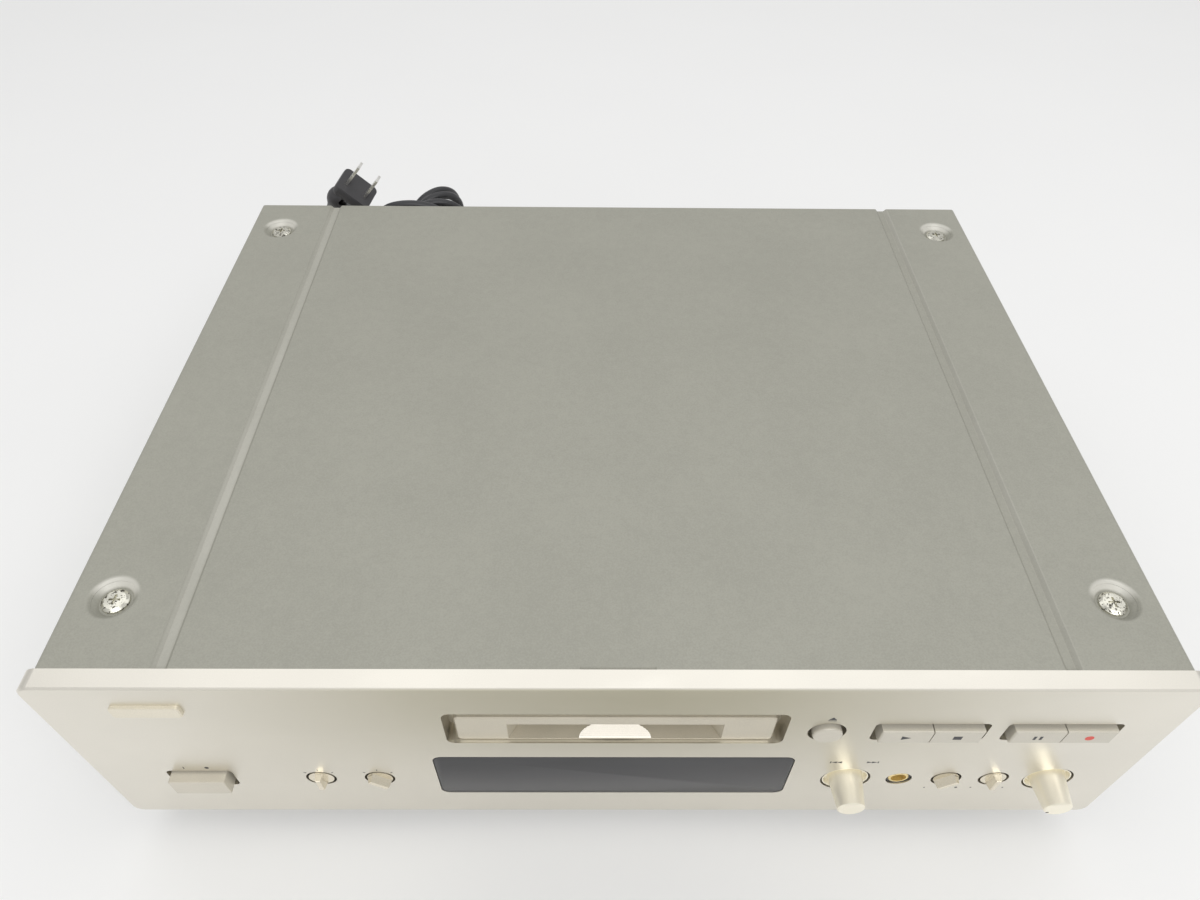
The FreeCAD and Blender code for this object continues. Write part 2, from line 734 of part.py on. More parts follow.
def front_frame():
    """Moulded carrier: a tray that backs the panel, with posts for the control board."""
    piece = Piece("front_frame", at=(0, FRONT, TOP))
    wide, high, low = S.panel_width - 20, dim(-3.5), DECK - TOP
    middle = (high + low) / 2
    plate = Rounded(0, middle, wide, high - low, 3)
    piece.pad("XZ", S.panel_thickness, FRAME_BACK - S.panel_thickness, plate)
    hollow = Rounded(0, middle, wide - 6, high - low - 6, 2)
    piece.cut("XZ", S.panel_thickness - 1, S.flange_space + 1, hollow)
    tunnel_mid = -(S.slot_drop + S.slot_height) + S.mouth_floor + S.throat_height / 2
    holes = [
        Centred(S.window_side, tunnel_mid, S.throat_width + 7, S.throat_height + 5),
        Rounded(S.window_side, -(S.display_drop + S.display_height / 2), S.display_width - 16,
                S.display_height - 6, 2),
        Centred(S.power_side, -S.power_drop, S.power_slot_width + 6, S.power_slot_height + 6),
        Circle(S.eject_side, -S.eject_drop, 6),
        Circle(S.jack_side, -S.jack_drop, S.jack_nose + 0.4),
    ]
    for pair in (S.pair_left_side, S.pair_right_side):
        for hand in (-1, 1):
            holes.append(Centred(pair + hand * (S.key_width + S.key_split) / 2, -S.pair_drop, 6, 6))
    for side in (S.track_side, S.level_side):
        holes.append(Circle(side, -S.large_drop, S.shaft_width + 4))
    for side in (S.timer_side, S.input_side, S.phones_side, S.balance_side):
        holes.append(Circle(side, -S.small_drop, S.stem_width + 4))
    piece.cut("XZ", S.panel_thickness - 1, FRAME_BACK, *holes)
    ledge = Centred(0, FRAME_BACK - 1 + 6.5, wide - 14, 13)
    piece.pad("XY", low, 2, ledge)
    posts = [Circle(side, -level, 6) for side, level in FRAME_POSTS]
    piece.pad("XZ", FRAME_BACK - 1, S.board_back - FRAME_BACK + 1, *posts)


def front_board():
    """Control board behind the frame, cut down in the middle for the disc tunnel."""
    piece = Piece("front_board", at=(0, FRONT, TOP))
    outline = Outline((-203, -109), (203, -109), (203, -12), (74, -12), (74, -49), (-203, -49))
    piece.pad("XZ", S.board_back, S.board_wall, outline)
    piece.cut("XZ", S.board_back - 1, S.board_wall + 2,
              Centred(S.power_side, -S.power_drop, 6, 6),
              Centred(S.jack_side, -S.jack_drop, 16, 14))


def switches():
    """Five key switches on the board's front and the latching power switch behind it."""
    piece = Piece("switches", at=(0, FRONT, TOP), turn=FACING_FRONT)
    places = [(S.eject_side, S.eject_drop)]
    for pair in (S.pair_left_side, S.pair_right_side):
        for hand in (-1, 1):
            places.append((pair + hand * (S.key_width + S.key_split) / 2, S.pair_drop))
    piece.pad("XY", -S.board_back, 3.6, *[Centred(side, -level, 6.2, 6.2) for side, level in places])
    piece.pad("XY", -S.board_back + 3.6, 0.9, *[Circle(side, -level, 3.4) for side, level in places])
    start = S.board_back + S.board_wall
    piece.pad("XY", -(start + 22), 22, Centred(S.power_side, -S.power_drop, 14, 16))
    tags = [Centred(S.power_side, step - S.power_drop, 4, 1) for step in (-5, 0, 5)]
    piece.pad("XY", -(start + 27), 5.1, *tags)
    piece.cut("XY", -(start + 15), 15, Centred(S.power_side, -S.power_drop, 5.4, 5.4))


def display_tube():
    """Flat glass display tube behind the window, standing on the control board."""
    middle = TOP - S.display_drop - S.display_height / 2
    piece = Piece("display_tube", at=(S.window_side, FRONT, middle))
    piece.pad("XZ", FRAME_BACK + 0.6, S.board_back - FRAME_BACK - 0.6, Rounded(0, 0, 128, 27, 1))
    piece.pad("XZ", FRAME_FRONT, S.board_back - FRAME_FRONT, Rounded(0, 0, 112, 23, 1))


# ---------------------------------------------------------------- case

# Near and far ends of the two large boards and their stand-off places, from the panel's back.
BOARD_NEAR = dim(122)
BOARD_FAR = S.cover_depth - 15.5
POST_NEAR, POST_FAR = BOARD_NEAR + 6, BOARD_FAR - 6
BOARD_POSTS = [(side, place) for place in (POST_NEAR, POST_FAR) for side in (-198, -70, -45, 198)]
BOARD_POSTS.append((80, (POST_NEAR + POST_FAR) / 2))


def base_chassis():
    """Folded steel tray: floor, full-height side walls and top flanges for the cover screws."""
    piece = Piece("base_chassis", at=(0, BEHIND, 0))
    wall, length = S.chassis_wall, REAR_IN - BEHIND
    side, inner = SIDE_OUT, SIDE_OUT - S.chassis_wall
    lip = SIDE_OUT - S.chassis_flange
    high = DISH_UNDER
    under = high - wall
    right = [(side, FLOOR), (side, high), (lip, high), (lip, under), (inner, under), (inner, DECK)]
    left = [(-a, b) for a, b in reversed(right)]
    piece.pad("XZ", 0, length, Outline(*right, *left))
    for hand in (-1, 1):
        low = (side - 25) if hand > 0 else -side
        piece.cut("XZ", -1, 17, Box(low, low + 25, high - wall - 3, high + 1))
    holes = [Circle(hand * S.dish_side, place, S.screw_shank + 0.6) for hand in (-1, 1)
             for place in (S.dish_front, S.cover_depth - S.dish_rear)]
    piece.cut("XY", high - wall - 1, wall + 2, *holes)
    slot = piece.cut("XY", FLOOR - 1, wall + 2, Rounded(-185, BOARD_NEAR + 24, 4, 46, 1.9))
    piece.repeat([slot], "X", 90, 11)
    foot_holes = [Circle(hand * S.foot_side, place, 4.4) for hand in (-1, 1)
                  for place in (S.foot_inset, S.cover_depth - S.foot_inset)]
    piece.cut("XY", FLOOR - 1, wall + 2, *foot_holes)
    studs = [Circle(a, b, 7) for a, b in BOARD_POSTS]
    piece.pad("XY", DECK - 0.2, S.standoff + 0.2, *studs)


def rear_panel():
    """Steel plate with openings for sockets and cord, notched under the cover's grooves."""
    piece = Piece("rear_panel", at=(0, REAR_IN, 0))
    top = UNDER_COVER - 0.2
    dip = S.groove_depth + 0.2
    reach = S.groove_top / 2 + 1.4
    notch = [(S.groove_side + reach, top), (S.groove_side + reach, top - dip),
             (S.groove_side - reach, top - dip), (S.groove_side - reach, top)]
    mirrored = [(-a, b) for a, b in reversed(notch)]
    outline = Outline((-SIDE_OUT, FLOOR), (SIDE_OUT, FLOOR), (SIDE_OUT, top), *notch, *mirrored,
                      (-SIDE_OUT, top))
    piece.pad("XZ", 0, S.chassis_wall, outline)
    sockets = [Circle(S.rca_side + a * S.rca_pitch_side / 2, S.rca_level + b * S.rca_pitch_level / 2, 9.6)
               for a in (-1, 1) for b in (-1, 1)]
    optical = [Centred(side, 46, 14.4, 11.4) for side in (62, 84)]
    cord = Centred(S.cord_side, S.cord_level, 12.4, 14.4)
    piece.cut("XZ", -1, S.chassis_wall + 2, cord, *sockets, *optical)
    slot = piece.cut("XZ", -1, S.chassis_wall + 2, Rounded(-60, 100, 3, 26, 1.4))
    piece.repeat([slot], "X", 84, 13)


def top_cover():
    """Bent steel cover with two pressed grooves and four screw dishes."""
    piece = Piece("top_cover", at=(0, BEHIND, 0))
    wall, out = S.cover_wall, S.cover_width / 2
    low, dip = BASE + S.cover_drop, S.groove_depth

    def skin(side, level, shift):
        """Right half of one face of the sheet, from the middle to the lower edge."""
        wide, narrow = S.groove_top / 2 + shift, S.groove_floor / 2 + shift
        return [(S.groove_side - wide, level), (S.groove_side - narrow, level - dip),
                (S.groove_side + narrow, level - dip), (S.groove_side + wide, level),
                (side, level), (side, low)]

    outer = skin(out, TOP, 0)
    inner = skin(out - wall, TOP - wall, 0.5)
    flip = [(-a, b) for a, b in reversed(outer)]
    flip_inner = [(-a, b) for a, b in inner]
    piece.pad("XZ", 0, S.cover_depth, Outline(*flip, *outer, *reversed(inner), *flip_inner))
    far = out.value

    def bend(edge, side, level):
        """The long edge at a bend."""
        centre = edge.CenterOfMass
        return along(edge, 1) and near(abs(centre.x), side) and near(centre.z, level)

    piece.dress("Fillet", S.cover_bend, lambda edge: bend(edge, far, TOP))
    piece.dress("Fillet", S.cover_bend - wall, lambda edge: bend(edge, out - wall, TOP - wall))
    rim, deep = S.dish_rim / 2, S.dish_depth
    places = [(hand, place) for hand in (-1, 1) for place in (S.dish_front, S.cover_depth - S.dish_rear)]
    cups = [(hand * S.dish_side, place) for hand, place in places]
    for centre in cups:
        piece.loft("AdditiveLoft", "cup", (TOP - wall - 0.1, Circle(*centre, S.dish_rim + 2 * wall)),
                   (TOP - deep - wall, Circle(*centre, S.dish_floor + 2 * wall)))
    for centre in cups:
        piece.loft("SubtractiveLoft", "dish", (TOP, Circle(*centre, S.dish_rim)),
                   (TOP - deep, Circle(*centre, S.dish_floor)))
    piece.cut("XY", TOP - deep - wall - 1, deep + wall + 2, *[Circle(*c, S.screw_shank + 0.4) for c in cups])
    notch = Centred(0, S.notch_depth / 2 - 1, S.notch_width, S.notch_depth + 2)
    piece.cut("XY", TOP - wall - 1, wall + 2, notch)

    def on_top(edge):
        """An edge that lies in the cover's upper face."""
        return near(edge.BoundBox.ZMin, TOP) and near(edge.BoundBox.ZMax, TOP)

    def notch_back(edge):
        """The notch's long upper edge."""
        box = edge.BoundBox
        return on_top(edge) and near(box.YMin, S.notch_depth) and near(box.YMax, S.notch_depth)

    piece.dress("Fillet", 1.5, lambda edge: on_top(edge) and edge.Curve.TypeId == "Part::GeomCircle"
                and near(edge.Curve.Radius, rim))
    piece.dress("Chamfer", S.notch_slope, notch_back)


def cover_screws():
    """Four domed screws that sit in the cover's dishes."""
    piece = Piece("cover_screws", at=(-S.dish_side, BEHIND + S.dish_front, TOP - S.dish_depth))
    head, tall, shank = S.screw_head / 2, S.screw_head_height, S.screw_shank / 2
    end = -S.screw_length
    piece.lathe((0, end), (shank - 0.4, end), (shank, end + 0.6), (shank, 0), (head, 0), (head, tall * 0.45),
                (head - 1.2, tall * 0.85), (0, tall))
    slots = [Centred(0, 0, 4.6, 0.9), Centred(0, 0, 0.9, 4.6)]
    turned = [piece.cut("XY", tall - 1.3, 2, slot) for slot in slots]
    first = piece.body.Group[1]
    piece.repeat([first] + turned, "X", 2 * S.dish_side, 2,
                 ("Y", S.cover_depth - S.dish_front - S.dish_rear, 2))


def feet():
    """Four round feet, each with a waist, a recess for the pad and a screw well."""
    piece = Piece("feet", at=(-S.foot_side, BEHIND + S.foot_inset, 0))
    low = S.pad_height - S.pad_recess
    wide, neck = S.foot_width / 2, S.foot_neck / 2
    pad, well, hole = S.pad_width / 2 + 0.1, dim(6), dim(2.2)
    turned = [
        piece.lathe((0, low), (wide - 1.5, low), (wide, low + 1.5), (wide, low + 6), (neck, low + 8.5),
                    (neck, FLOOR), (0, FLOOR)),
        piece.bore((0, low - 1), (pad, low - 1), (pad, S.pad_height), (0, S.pad_height)),
        piece.bore((0, low), (well, low), (well, FLOOR - 5), (0, FLOOR - 5)),
        piece.bore((0, low), (hole, low), (hole, FLOOR + 1), (0, FLOOR + 1)),
    ]
    piece.repeat(turned, "X", 2 * S.foot_side, 2, ("Y", S.cover_depth - 2 * S.foot_inset, 2))


def foot_pads():
    """Four felt rings under the feet."""
    piece = Piece("foot_pads", at=(-S.foot_side, BEHIND + S.foot_inset, 0))
    pad = piece.lathe((6.5, 0), (S.pad_width / 2, 0), (S.pad_width / 2, S.pad_height), (6.5, S.pad_height))
    piece.repeat([pad], "X", 2 * S.foot_side, 2, ("Y", S.cover_depth - 2 * S.foot_inset, 2))


# ---------------------------------------------------------------- disc drive

# Shared places of the drive: its middle line, the holder's start and the disc's centre.
DISC_FLOOR = TOP - S.slot_drop - S.slot_height + S.mouth_floor
HOLDER_START = FRONT + S.drive_start
DISC_CENTRE = HOLDER_START + S.cartridge_depth / 2 + 2
HOLDER_IN = S.cartridge_width / 2 + S.holder_play
HOLDER_OUT = HOLDER_IN + S.holder_wall
DRIVE_LEFT = -57
DRIVE_RIGHT = 66
SLIDER_SIDE = -44.0

# Rack and pinion that load the disc: number of teeth, tooth module, pitch radius, pitch level and place.
TEETH = 14
MODULE = 0.8
GEAR_PITCH = MODULE * TEETH / 2
RACK_STEP = math.pi * MODULE
RACK_LEVEL = S.drive_base + 12
GEAR_LEVEL = RACK_LEVEL - GEAR_PITCH
GEAR_PLACE = 4.0


def drive_bracket():
    """Bridge of folded steel that lifts the drive above the chassis floor."""
    piece = Piece("drive_bracket", at=(0, DISC_CENTRE, 0))
    high, wall = S.drive_base - 4, S.drive_wall
    left, right = DRIVE_LEFT - 4, DRIVE_RIGHT + 4
    under, foot = high - wall, DECK + wall
    outline = Outline((left - 10, DECK), (left + wall, DECK), (left + wall, under), (right - wall, under),
                      (right - wall, DECK), (right + 10, DECK), (right + 10, foot), (right, foot),
                      (right, high), (left, high), (left, foot), (left - 10, foot))
    piece.pad("XZ", -38, 76, outline)
    piece.cut("XY", high - wall - 1, wall + 2, Rounded(8, 0, 84, 48, 4))


def drive_dampers():
    """Four rubber bushes between bracket and drive chassis."""
    piece = Piece("drive_dampers", at=(DRIVE_LEFT + 8, DISC_CENTRE - 31, S.drive_base - 4))
    bush = piece.lathe((0, 0), (5, 0), (5, 1.2), (3.6, 2), (5, 2.8), (5, 4), (0, 4))
    piece.repeat([bush], "X", DRIVE_RIGHT - DRIVE_LEFT - 16, 2, ("Y", 62, 2))


def drive_chassis():
    """Steel base of the drive with a guide wall for the holder's pins and rod supports."""
    piece = Piece("drive_chassis", at=(0, DISC_CENTRE, 0))
    base, wall = S.drive_base, S.drive_wall
    piece.pad("XY", base, wall, Box(DRIVE_LEFT, DRIVE_RIGHT, -38, 38))
    guide = SLIDER_SIDE + 3
    piece.pad("YZ", guide, wall, Box(-32, 38, base + wall - 0.2, DISC_FLOOR + 12))
    level = DISC_FLOOR + 3
    pin = S.cam_pin / 2 + S.cam_play / 2
    for place in (-20, 20):
        slot = Box(place - pin, place + pin, level - S.holder_drop - pin, level + pin)
        piece.cut("YZ", guide - 1, wall + 2, slot)
    piece.cut("XY", base - 1, wall + 2, Box(SLIDER_SIDE - 1.4, SLIDER_SIDE + 2.4, -3, 11))
    rod = S.rod_width / 2
    for side in (2, 60):
        for hand in (-1, 1):
            middle = hand * S.rod_side
            support = Box(middle - 3.5, middle + 3.5, base + wall - 0.2, S.rod_level + rod + 2)
            piece.pad("YZ", side, 3, support)
    holes = [Circle(hand * S.rod_side, S.rod_level, S.rod_width) for hand in (-1, 1)]
    piece.cut("YZ", 1, 63, *holes)
    for side, reach in ((5.5, 3.5), (61, 2)):
        piece.pad("YZ", side, reach, Box(-31, -21.6, base + wall - 0.2, S.rod_level + 5))
    piece.cut("YZ", 6.5, 57.5, Circle(-26, S.rod_level, 3.1))


def disc_holder():
    """Folded carrier for the cartridge, with two guide pins on its left side."""
    piece = Piece("disc_holder", at=(0, DISC_CENTRE, DISC_FLOOR))
    low = -S.holder_wall + 0.4
    tall = S.cartridge_height + 1.6
    inner, out, wall = HOLDER_IN, HOLDER_OUT, S.holder_wall
    right = [(inner - S.holder_lip, low), (out, low), (out, tall)]
    left = [(-a, b) for a, b in reversed(right)]
    inside = [(-(inner - S.holder_lip), low + wall), (-inner, low + wall), (-inner, tall - wall),
              (inner, tall - wall), (inner, low + wall), (inner - S.holder_lip, low + wall)]
    start, depth = -(S.cartridge_depth / 2 + 2), S.cartridge_depth + 3
    piece.pad("XZ", start, depth, Outline(*right, *left, *inside))
    piece.cut("XY", tall - wall - 1, wall + 2, Box(-6, inner + 3, -8, 8))
    piece.cut("YZ", inner - 1, 4, Box(-8, 8, 1.6, tall + 1))
    pins = [Circle(place, 3, S.cam_pin) for place in (-20, 20)]
    piece.pad("YZ", -(out + 8.4), 8.5, *pins)


def load_slider():
    """Cam plate beside the holder: inclined slots lower the holder as the plate slides back."""
    piece = Piece("load_slider", at=(0, DISC_CENTRE, DISC_FLOOR + 3))
    pin = S.cam_pin / 2 + S.cam_play / 2
    pitch = RACK_LEVEL - DISC_FLOOR - 3
    root, tip = pitch + 1.0, pitch - 0.75
    piece.pad("YZ", SLIDER_SIDE, 1.6, Box(-38, 30, root, 6))
    for place in (-20, 20):
        back, fall = S.slider_travel, S.holder_drop
        slot = Outline((place + pin, -pin - 0.4), (place + pin, pin), (place - pin, pin),
                       (place - back - pin, pin - fall), (place - back - pin, -pin - fall),
                       (place - back + pin, -pin - fall))
        piece.cut("YZ", SLIDER_SIDE - 1, 4, slot)
    first = GEAR_PLACE - 6.5 * RACK_STEP
    outline = Outline((first - 0.93, root + 0.1), (first - 0.27, tip), (first + 0.27, tip),
                      (first + 0.93, root + 0.1))
    tooth = piece.pad("YZ", SLIDER_SIDE, 1.6, outline)
    piece.repeat([tooth], "Y", 8 * RACK_STEP, 9)


def load_gear():
    """Pinion on the load motor's output shaft, in mesh with the slider's rack."""
    place = (SLIDER_SIDE - 0.6, DISC_CENTRE + GEAR_PLACE, GEAR_LEVEL)
    piece = Piece("load_gear", at=place, turn=FACING_SIDE)
    root, tip = GEAR_PITCH - 1.0, GEAR_PITCH + 0.75
    piece.lathe((0, -8), (1.5, -8), (1.5, 0), (root, 0), (root, 2.6), (0, 2.6))
    flank = [(root - 0.2, 0.85), (GEAR_PITCH, 0.55), (tip, 0.25)]
    outline = Outline(*[(a, -b) for a, b in flank], *reversed(flank))
    tooth = piece.pad("XY", 0, 2.6, outline)
    piece.ring([tooth], TEETH)


def load_motor():
    """Geared motor that turns the load gear."""
    place = (SLIDER_SIDE - 0.6, DISC_CENTRE + GEAR_PLACE, GEAR_LEVEL)
    piece = Piece("load_motor", at=place, turn=FACING_SIDE)
    seat = GEAR_LEVEL - S.drive_base - S.drive_wall
    piece.pad("XY", -11, 8, Centred(0, 0, seat * 2, 22))
    piece.cut("XY", -10, 8, Circle(0, 0, 3.1))


def spindle_motor():
    """Flat motor can under the disc's centre."""
    piece = Piece("spindle_motor", at=(0, DISC_CENTRE, S.drive_base + S.drive_wall))
    high = DISC_FLOOR - S.holder_drop - 4 - S.drive_base - S.drive_wall
    piece.lathe((0, 0), (11, 0), (11, high), (4, high), (4, high + 0.8), (0, high + 0.8))
    piece.bore((0, 2), (1.05, 2), (1.05, high + 2), (0, high + 2))
    piece.dress("Fillet", 1.0, lambda edge: near(edge.BoundBox.ZMin, high) and near(edge.BoundBox.ZMax, high)
                and edge.Curve.Radius > 5)


def turntable():
    """Magnetic turntable and its shaft."""
    piece = Piece("turntable", at=(0, DISC_CENTRE, DISC_FLOOR - S.holder_drop))
    shaft_end = -(DISC_FLOOR - S.holder_drop - S.drive_base - S.drive_wall) + 3
    piece.lathe((0, shaft_end), (1, shaft_end), (1, -2.4), (8, -2.4), (8, -0.6), (4.6, -0.6), (4.6, 0.4),
                (2, 1.4), (0, 1.4))


# Top of the post that carries the recording head's arm.
POST_TOP = DISC_FLOOR + 14


def optical_pickup():
    """Pickup sled on two rods, with the lens barrel and the post that carries the head arm."""
    piece = Piece("optical_pickup", at=(S.lens_rest, DISC_CENTRE, S.rod_level))
    rod = S.rod_width / 2
    piece.pad("XY", -4, 6.5, Box(-5.5, 22, -13, 13))
    piece.pad("YZ", 0, 20, Box(-21, -12.9, -3.6, 3.6))
    piece.pad("YZ", 2, 12, Box(12.9, 20.5, -3.4, 3.4))
    piece.pad("YZ", 4, 8, Box(-28.5, -20.9, -3, 3))
    running = S.running_play * 2
    piece.cut("YZ", -1, 24, Circle(-S.rod_side, 0, S.rod_width + running))
    piece.cut("YZ", -1, 24, Box(S.rod_side - rod - 0.2, S.rod_side + 6, -rod - 0.05, rod + 0.05))
    piece.cut("YZ", -1, 24, Circle(-26, 0, 3 + running))
    piece.lathe((0, 2), (5, 2), (5, 4.5), (3, 5.4), (0, 5.4))
    piece.pad("XY", 2, POST_TOP - S.rod_level - 2, Box(21, 23.4, -5, 5))
    piece.pad("XY", -4, 6.5, Box(21.8, 23.4, -5, 5))
    slot = Box(20, 25, -2.6, 2.6)
    piece.cut("XY", POST_TOP - S.rod_level - 5, 6, slot)
    piece.cut("XZ", -6, 12, Circle(22.2, POST_TOP - S.rod_level - 2, 1.1))


def head_arm():
    """Recording head on its arm, hinged to the pickup's post and swung over the disc."""
    piece = Piece("head_arm", at=(S.lens_rest + 22.2, DISC_CENTRE, POST_TOP - 2))
    piece.pad("XZ", -2.4, 4.8, Circle(0, 0, 2.2))
    piece.pad("XZ", -5, 10, Circle(0, 0, 1.0))
    piece.pad("XZ", -2.4, 4.8, Box(-24, 0, -0.4, 0.5))
    piece.pad("XY", -2.4, 2.6, Centred(-22.2, 0, 4, 4))


def guide_rods():
    """The pickup's two steel rods."""
    piece = Piece("guide_rods", at=(0, DISC_CENTRE, S.rod_level))
    rods = [Circle(hand * S.rod_side, 0, S.rod_width) for hand in (-1, 1)]
    piece.pad("YZ", 2, 61, *rods)


def feed_screw():
    """Screw that moves the pickup, turned by the feed motor."""
    piece = Piece("feed_screw", at=(0, DISC_CENTRE - 26, S.rod_level))
    piece.pad("YZ", 7, 63, Circle(0, 0, 3))


def feed_motor():
    """Small round motor on the end of the feed screw."""
    piece = Piece("feed_motor", at=(63, DISC_CENTRE - 26, S.rod_level), turn=FACING_SIDE)
    piece.lathe((1.55, 0), (6, 0), (6, 12), (0, 12), (0, 9), (1.55, 9))


# ---------------------------------------------------------------- boards and supply

def board(name, left, right):
    """A circuit board on the chassis stand-offs."""
    piece = Piece(name, at=(0, BEHIND, DECK + S.standoff))
    piece.pad("XY", 0, S.board_wall, Box(left, right, BOARD_NEAR, BOARD_FAR))


def board_parts():
    """Capacitors and chips on the two boards."""
    piece = Piece("board_parts", at=(0, BEHIND, DECK + S.standoff + S.board_wall))
    tall = [Circle(a, b, 22) for a, b in ((-170, 165), (-140, 165))]
    middle = [Circle(a, b, 12.5) for a, b in ((-105, 150), (-105, 170), (-85, 160))]
    low = [Circle(a, BOARD_FAR - b, 8) for a, b in ((150, 48), (165, 48), (150, 66), (165, 66))]
    chips = [Centred(a, b, w, w) for a, b, w in ((20, 180, 24), (70, 160, 20), (120, 180, 14), (20, 240, 18))]
    piece.pad("XY", 0, 35, *tall)
    piece.pad("XY", 0, 20, *middle)
    piece.pad("XY", 0, 12, *low)
    piece.pad("XY", 0, 3, *chips)


def heat_sink():
    """Extruded fin block on the supply board."""
    piece = Piece("heat_sink", at=(-100, BEHIND + 215, DECK + S.standoff + S.board_wall))
    piece.pad("XY", 0, 40, Box(-30, 30, -2, 2))
    fin = piece.pad("XY", 0, 40, Box(-30, -28.4, -1.9, 14))
    piece.repeat([fin], "X", 58.4, 8)


def transformer():
    """Laminated core with two flanges and the winding, bolted to the chassis floor."""
    piece = Piece("transformer", at=(-158, BEHIND + 80, DECK))
    piece.pad("XZ", -20, 40, Box(-33, 33, 2, 57))
    piece.pad("XY", 0, 2.1, Box(-42, 42, -20, 20))


def transformer_coil():
    """Winding on both sides of the core."""
    piece = Piece("transformer_coil", at=(-158, BEHIND + 80, DECK))
    piece.pad("XZ", 20, 11, Rounded(0, 29.5, 44, 34, 5))
    piece.pad("XZ", -31, 11, Rounded(0, 29.5, 44, 34, 5))


# ---------------------------------------------------------------- rear sockets and cord

def rca_jacks():
    """Four socket posts on one insulating block inside the rear panel."""
    piece = Piece("rca_jacks", at=(S.rca_side, REAR_IN, S.rca_level), turn=FACING_REAR)
    reach = REAR + S.jack_reach - REAR_IN
    places = [(a * S.rca_pitch_side / 2, b * S.rca_pitch_level / 2) for a in (-1, 1) for b in (-1, 1)]
    piece.pad("XY", -0.5, reach + 0.5, *[Circle(a, b, S.rca_width) for a, b in places])
    piece.pad("XY", -12, 12, Centred(0, 0, 50, 40))
    piece.cut("XY", reach - 9, 10, *[Circle(a, b, 3.4) for a, b in places])


def optical_sockets():
    """Two optical sockets with closed dust doors."""
    piece = Piece("optical_sockets", at=(73, REAR_IN, 46), turn=FACING_REAR)
    piece.pad("XY", -14, 14 + S.chassis_wall + 2, *[Rounded(side, 0, 14, 11, 1) for side in (-11, 11)])
    piece.cut("XY", S.chassis_wall + 1, 2, *[Rounded(side, 0, 10, 8, 0.8) for side in (-11, 11)])


def strain_relief():
    """Tapered boot that grips the cord in the rear panel."""
    piece = Piece("strain_relief", at=(S.cord_side, REAR_OUT, S.cord_level), turn=FACING_REAR)
    piece.pad("XY", -(S.chassis_wall + 5), S.chassis_wall + 5, Centred(0, 0, 12, 14))
    piece.pad("XY", 0, 3, Rounded(0, 0, 17, 19, 2))
    piece.lathe((0, 2.9), (6, 2.9), (6, 5), (3.5, S.relief_reach), (0, S.relief_reach))


# ---------------------------------------------------------------- cord, hank and plug

CORD_LEAD = [(-168, 188.35, 58), (-168, 209, 56.5), (-167, 234, 46), (-159, 255, 27), (-141, 266, 10),
             (-122, 262, 3.3), (-110, 247, 5.5), (-107.5, 230, 13), (-107.5, 216, 24.5)]
CORD_TAIL = [(-125, 212.5, 31), (-141, 213.5, 33), (-154, 211, 46), (-160.5, 206.5, 61.5), (-171, 199.5, 69),
             (-180.5, 193, 73), (-188.5, 187, 83), (-190, 183.6, 96), (-185.75, 181.6, 107.1),
             (-177.95, 180.4, 116.25)]


def tube_path(points):
    """A wire of straight runs joined by tangent arcs; prints the arc radii."""
    points = [Vector(*p) for p in points]
    edges, start, radii = [], points[0], []
    for before, corner, after in zip(points, points[1:], points[2:]):
        arriving, leaving = corner - before, after - corner
        half = arriving.getAngle(leaving) / 2
        cut = 0.45 * min(arriving.Length, leaving.Length)
        radius = cut / math.tan(half)
        arriving.normalize()
        leaving.normalize()
        first, last = corner - arriving * cut, corner + leaving * cut
        bisector = (leaving - arriving)
        bisector.normalize()
        middle = corner + bisector * (radius / math.cos(half) - radius)
        edges.append(Part.LineSegment(start, first).toShape())
        edges.append(Part.Arc(first, middle, last).toShape())
        start = last
        radii.append(round(radius, 1))
    edges.append(Part.LineSegment(start, points[-1]).toShape())
    runs = [(b - a).Length for a, b in zip(points, points[1:])]
    print("cord arc radii", radii, "runs from", round(min(runs), 1), "to", round(max(runs), 1))
    return Part.Wire(edges)


def cord_tube(points, width):
    """A round tube along a route, checked against its section times its length."""
    path = tube_path(points)
    direction = Vector(*points[1]) - Vector(*points[0])
    ring = Part.Wire(Part.Circle(Vector(*points[0]), direction, width / 2).toShape())
    tube = path.makePipeShell([ring], True, True)
    expected = math.pi * (width / 2) ** 2 * path.Length
    print("cord length", round(path.Length, 1), "volume ratio", round(tube.Volume / expected, 4))
    return tube


def power_cord():
    """The cord's two free stretches: from the strain relief to the hank, and from the hank to the plug."""
    tubes = [cord_tube(route, S.cord_width.value) for route in (CORD_LEAD, CORD_TAIL)]
    feature = doc.addObject("Part::Feature", "power_cord")
    feature.Label = "power_cord"
    feature.Shape = Part.makeCompound(tubes)
    feature.Placement = Placement()
    PIECES.append(feature)


# The hank leans on the cover's rear edge: its foot, its lean and its sections, each a level, a middle
# and the width and thickness of the bundle of turns there.
HANK_AT = (-115.5, 213.0, 2.4)
HANK_LEAN = 17.0
HANK_SECTIONS = [
    (1.6, (0, 0), 22, 15),
    (12, (0, 0), 38, 20),
    (28, (0, 0), 41, 21),
    (47, (0, 0), 17, 21.2),
    (56, (0, 0), 13, 21.2),
    (67, (0, 0), 13, 21.2),
    (78, (0, 1), 19, 23),
    (100, (-5, 5.5), 48, 32),
    (118, (-6.5, 5.5), 52, 32),
    (133, (-9, 0.5), 40, 22),
]


def cord_hank():
    """Outer shape of the tied hank: a bundle with a waist at the tie, whose turns fan out above it."""
    turn = Rotation(Vector(1, 0, 0), HANK_LEAN)
    piece = Piece("cord_hank", at=HANK_AT, turn=turn)
    sections = []
    for level, middle, wide, thick in HANK_SECTIONS:
        corner = 0.4 * min(wide, thick)
        sections.append((level, Rounded(*middle, wide, thick, corner)))
    piece.loft("AdditiveLoft", "bundle", *sections)


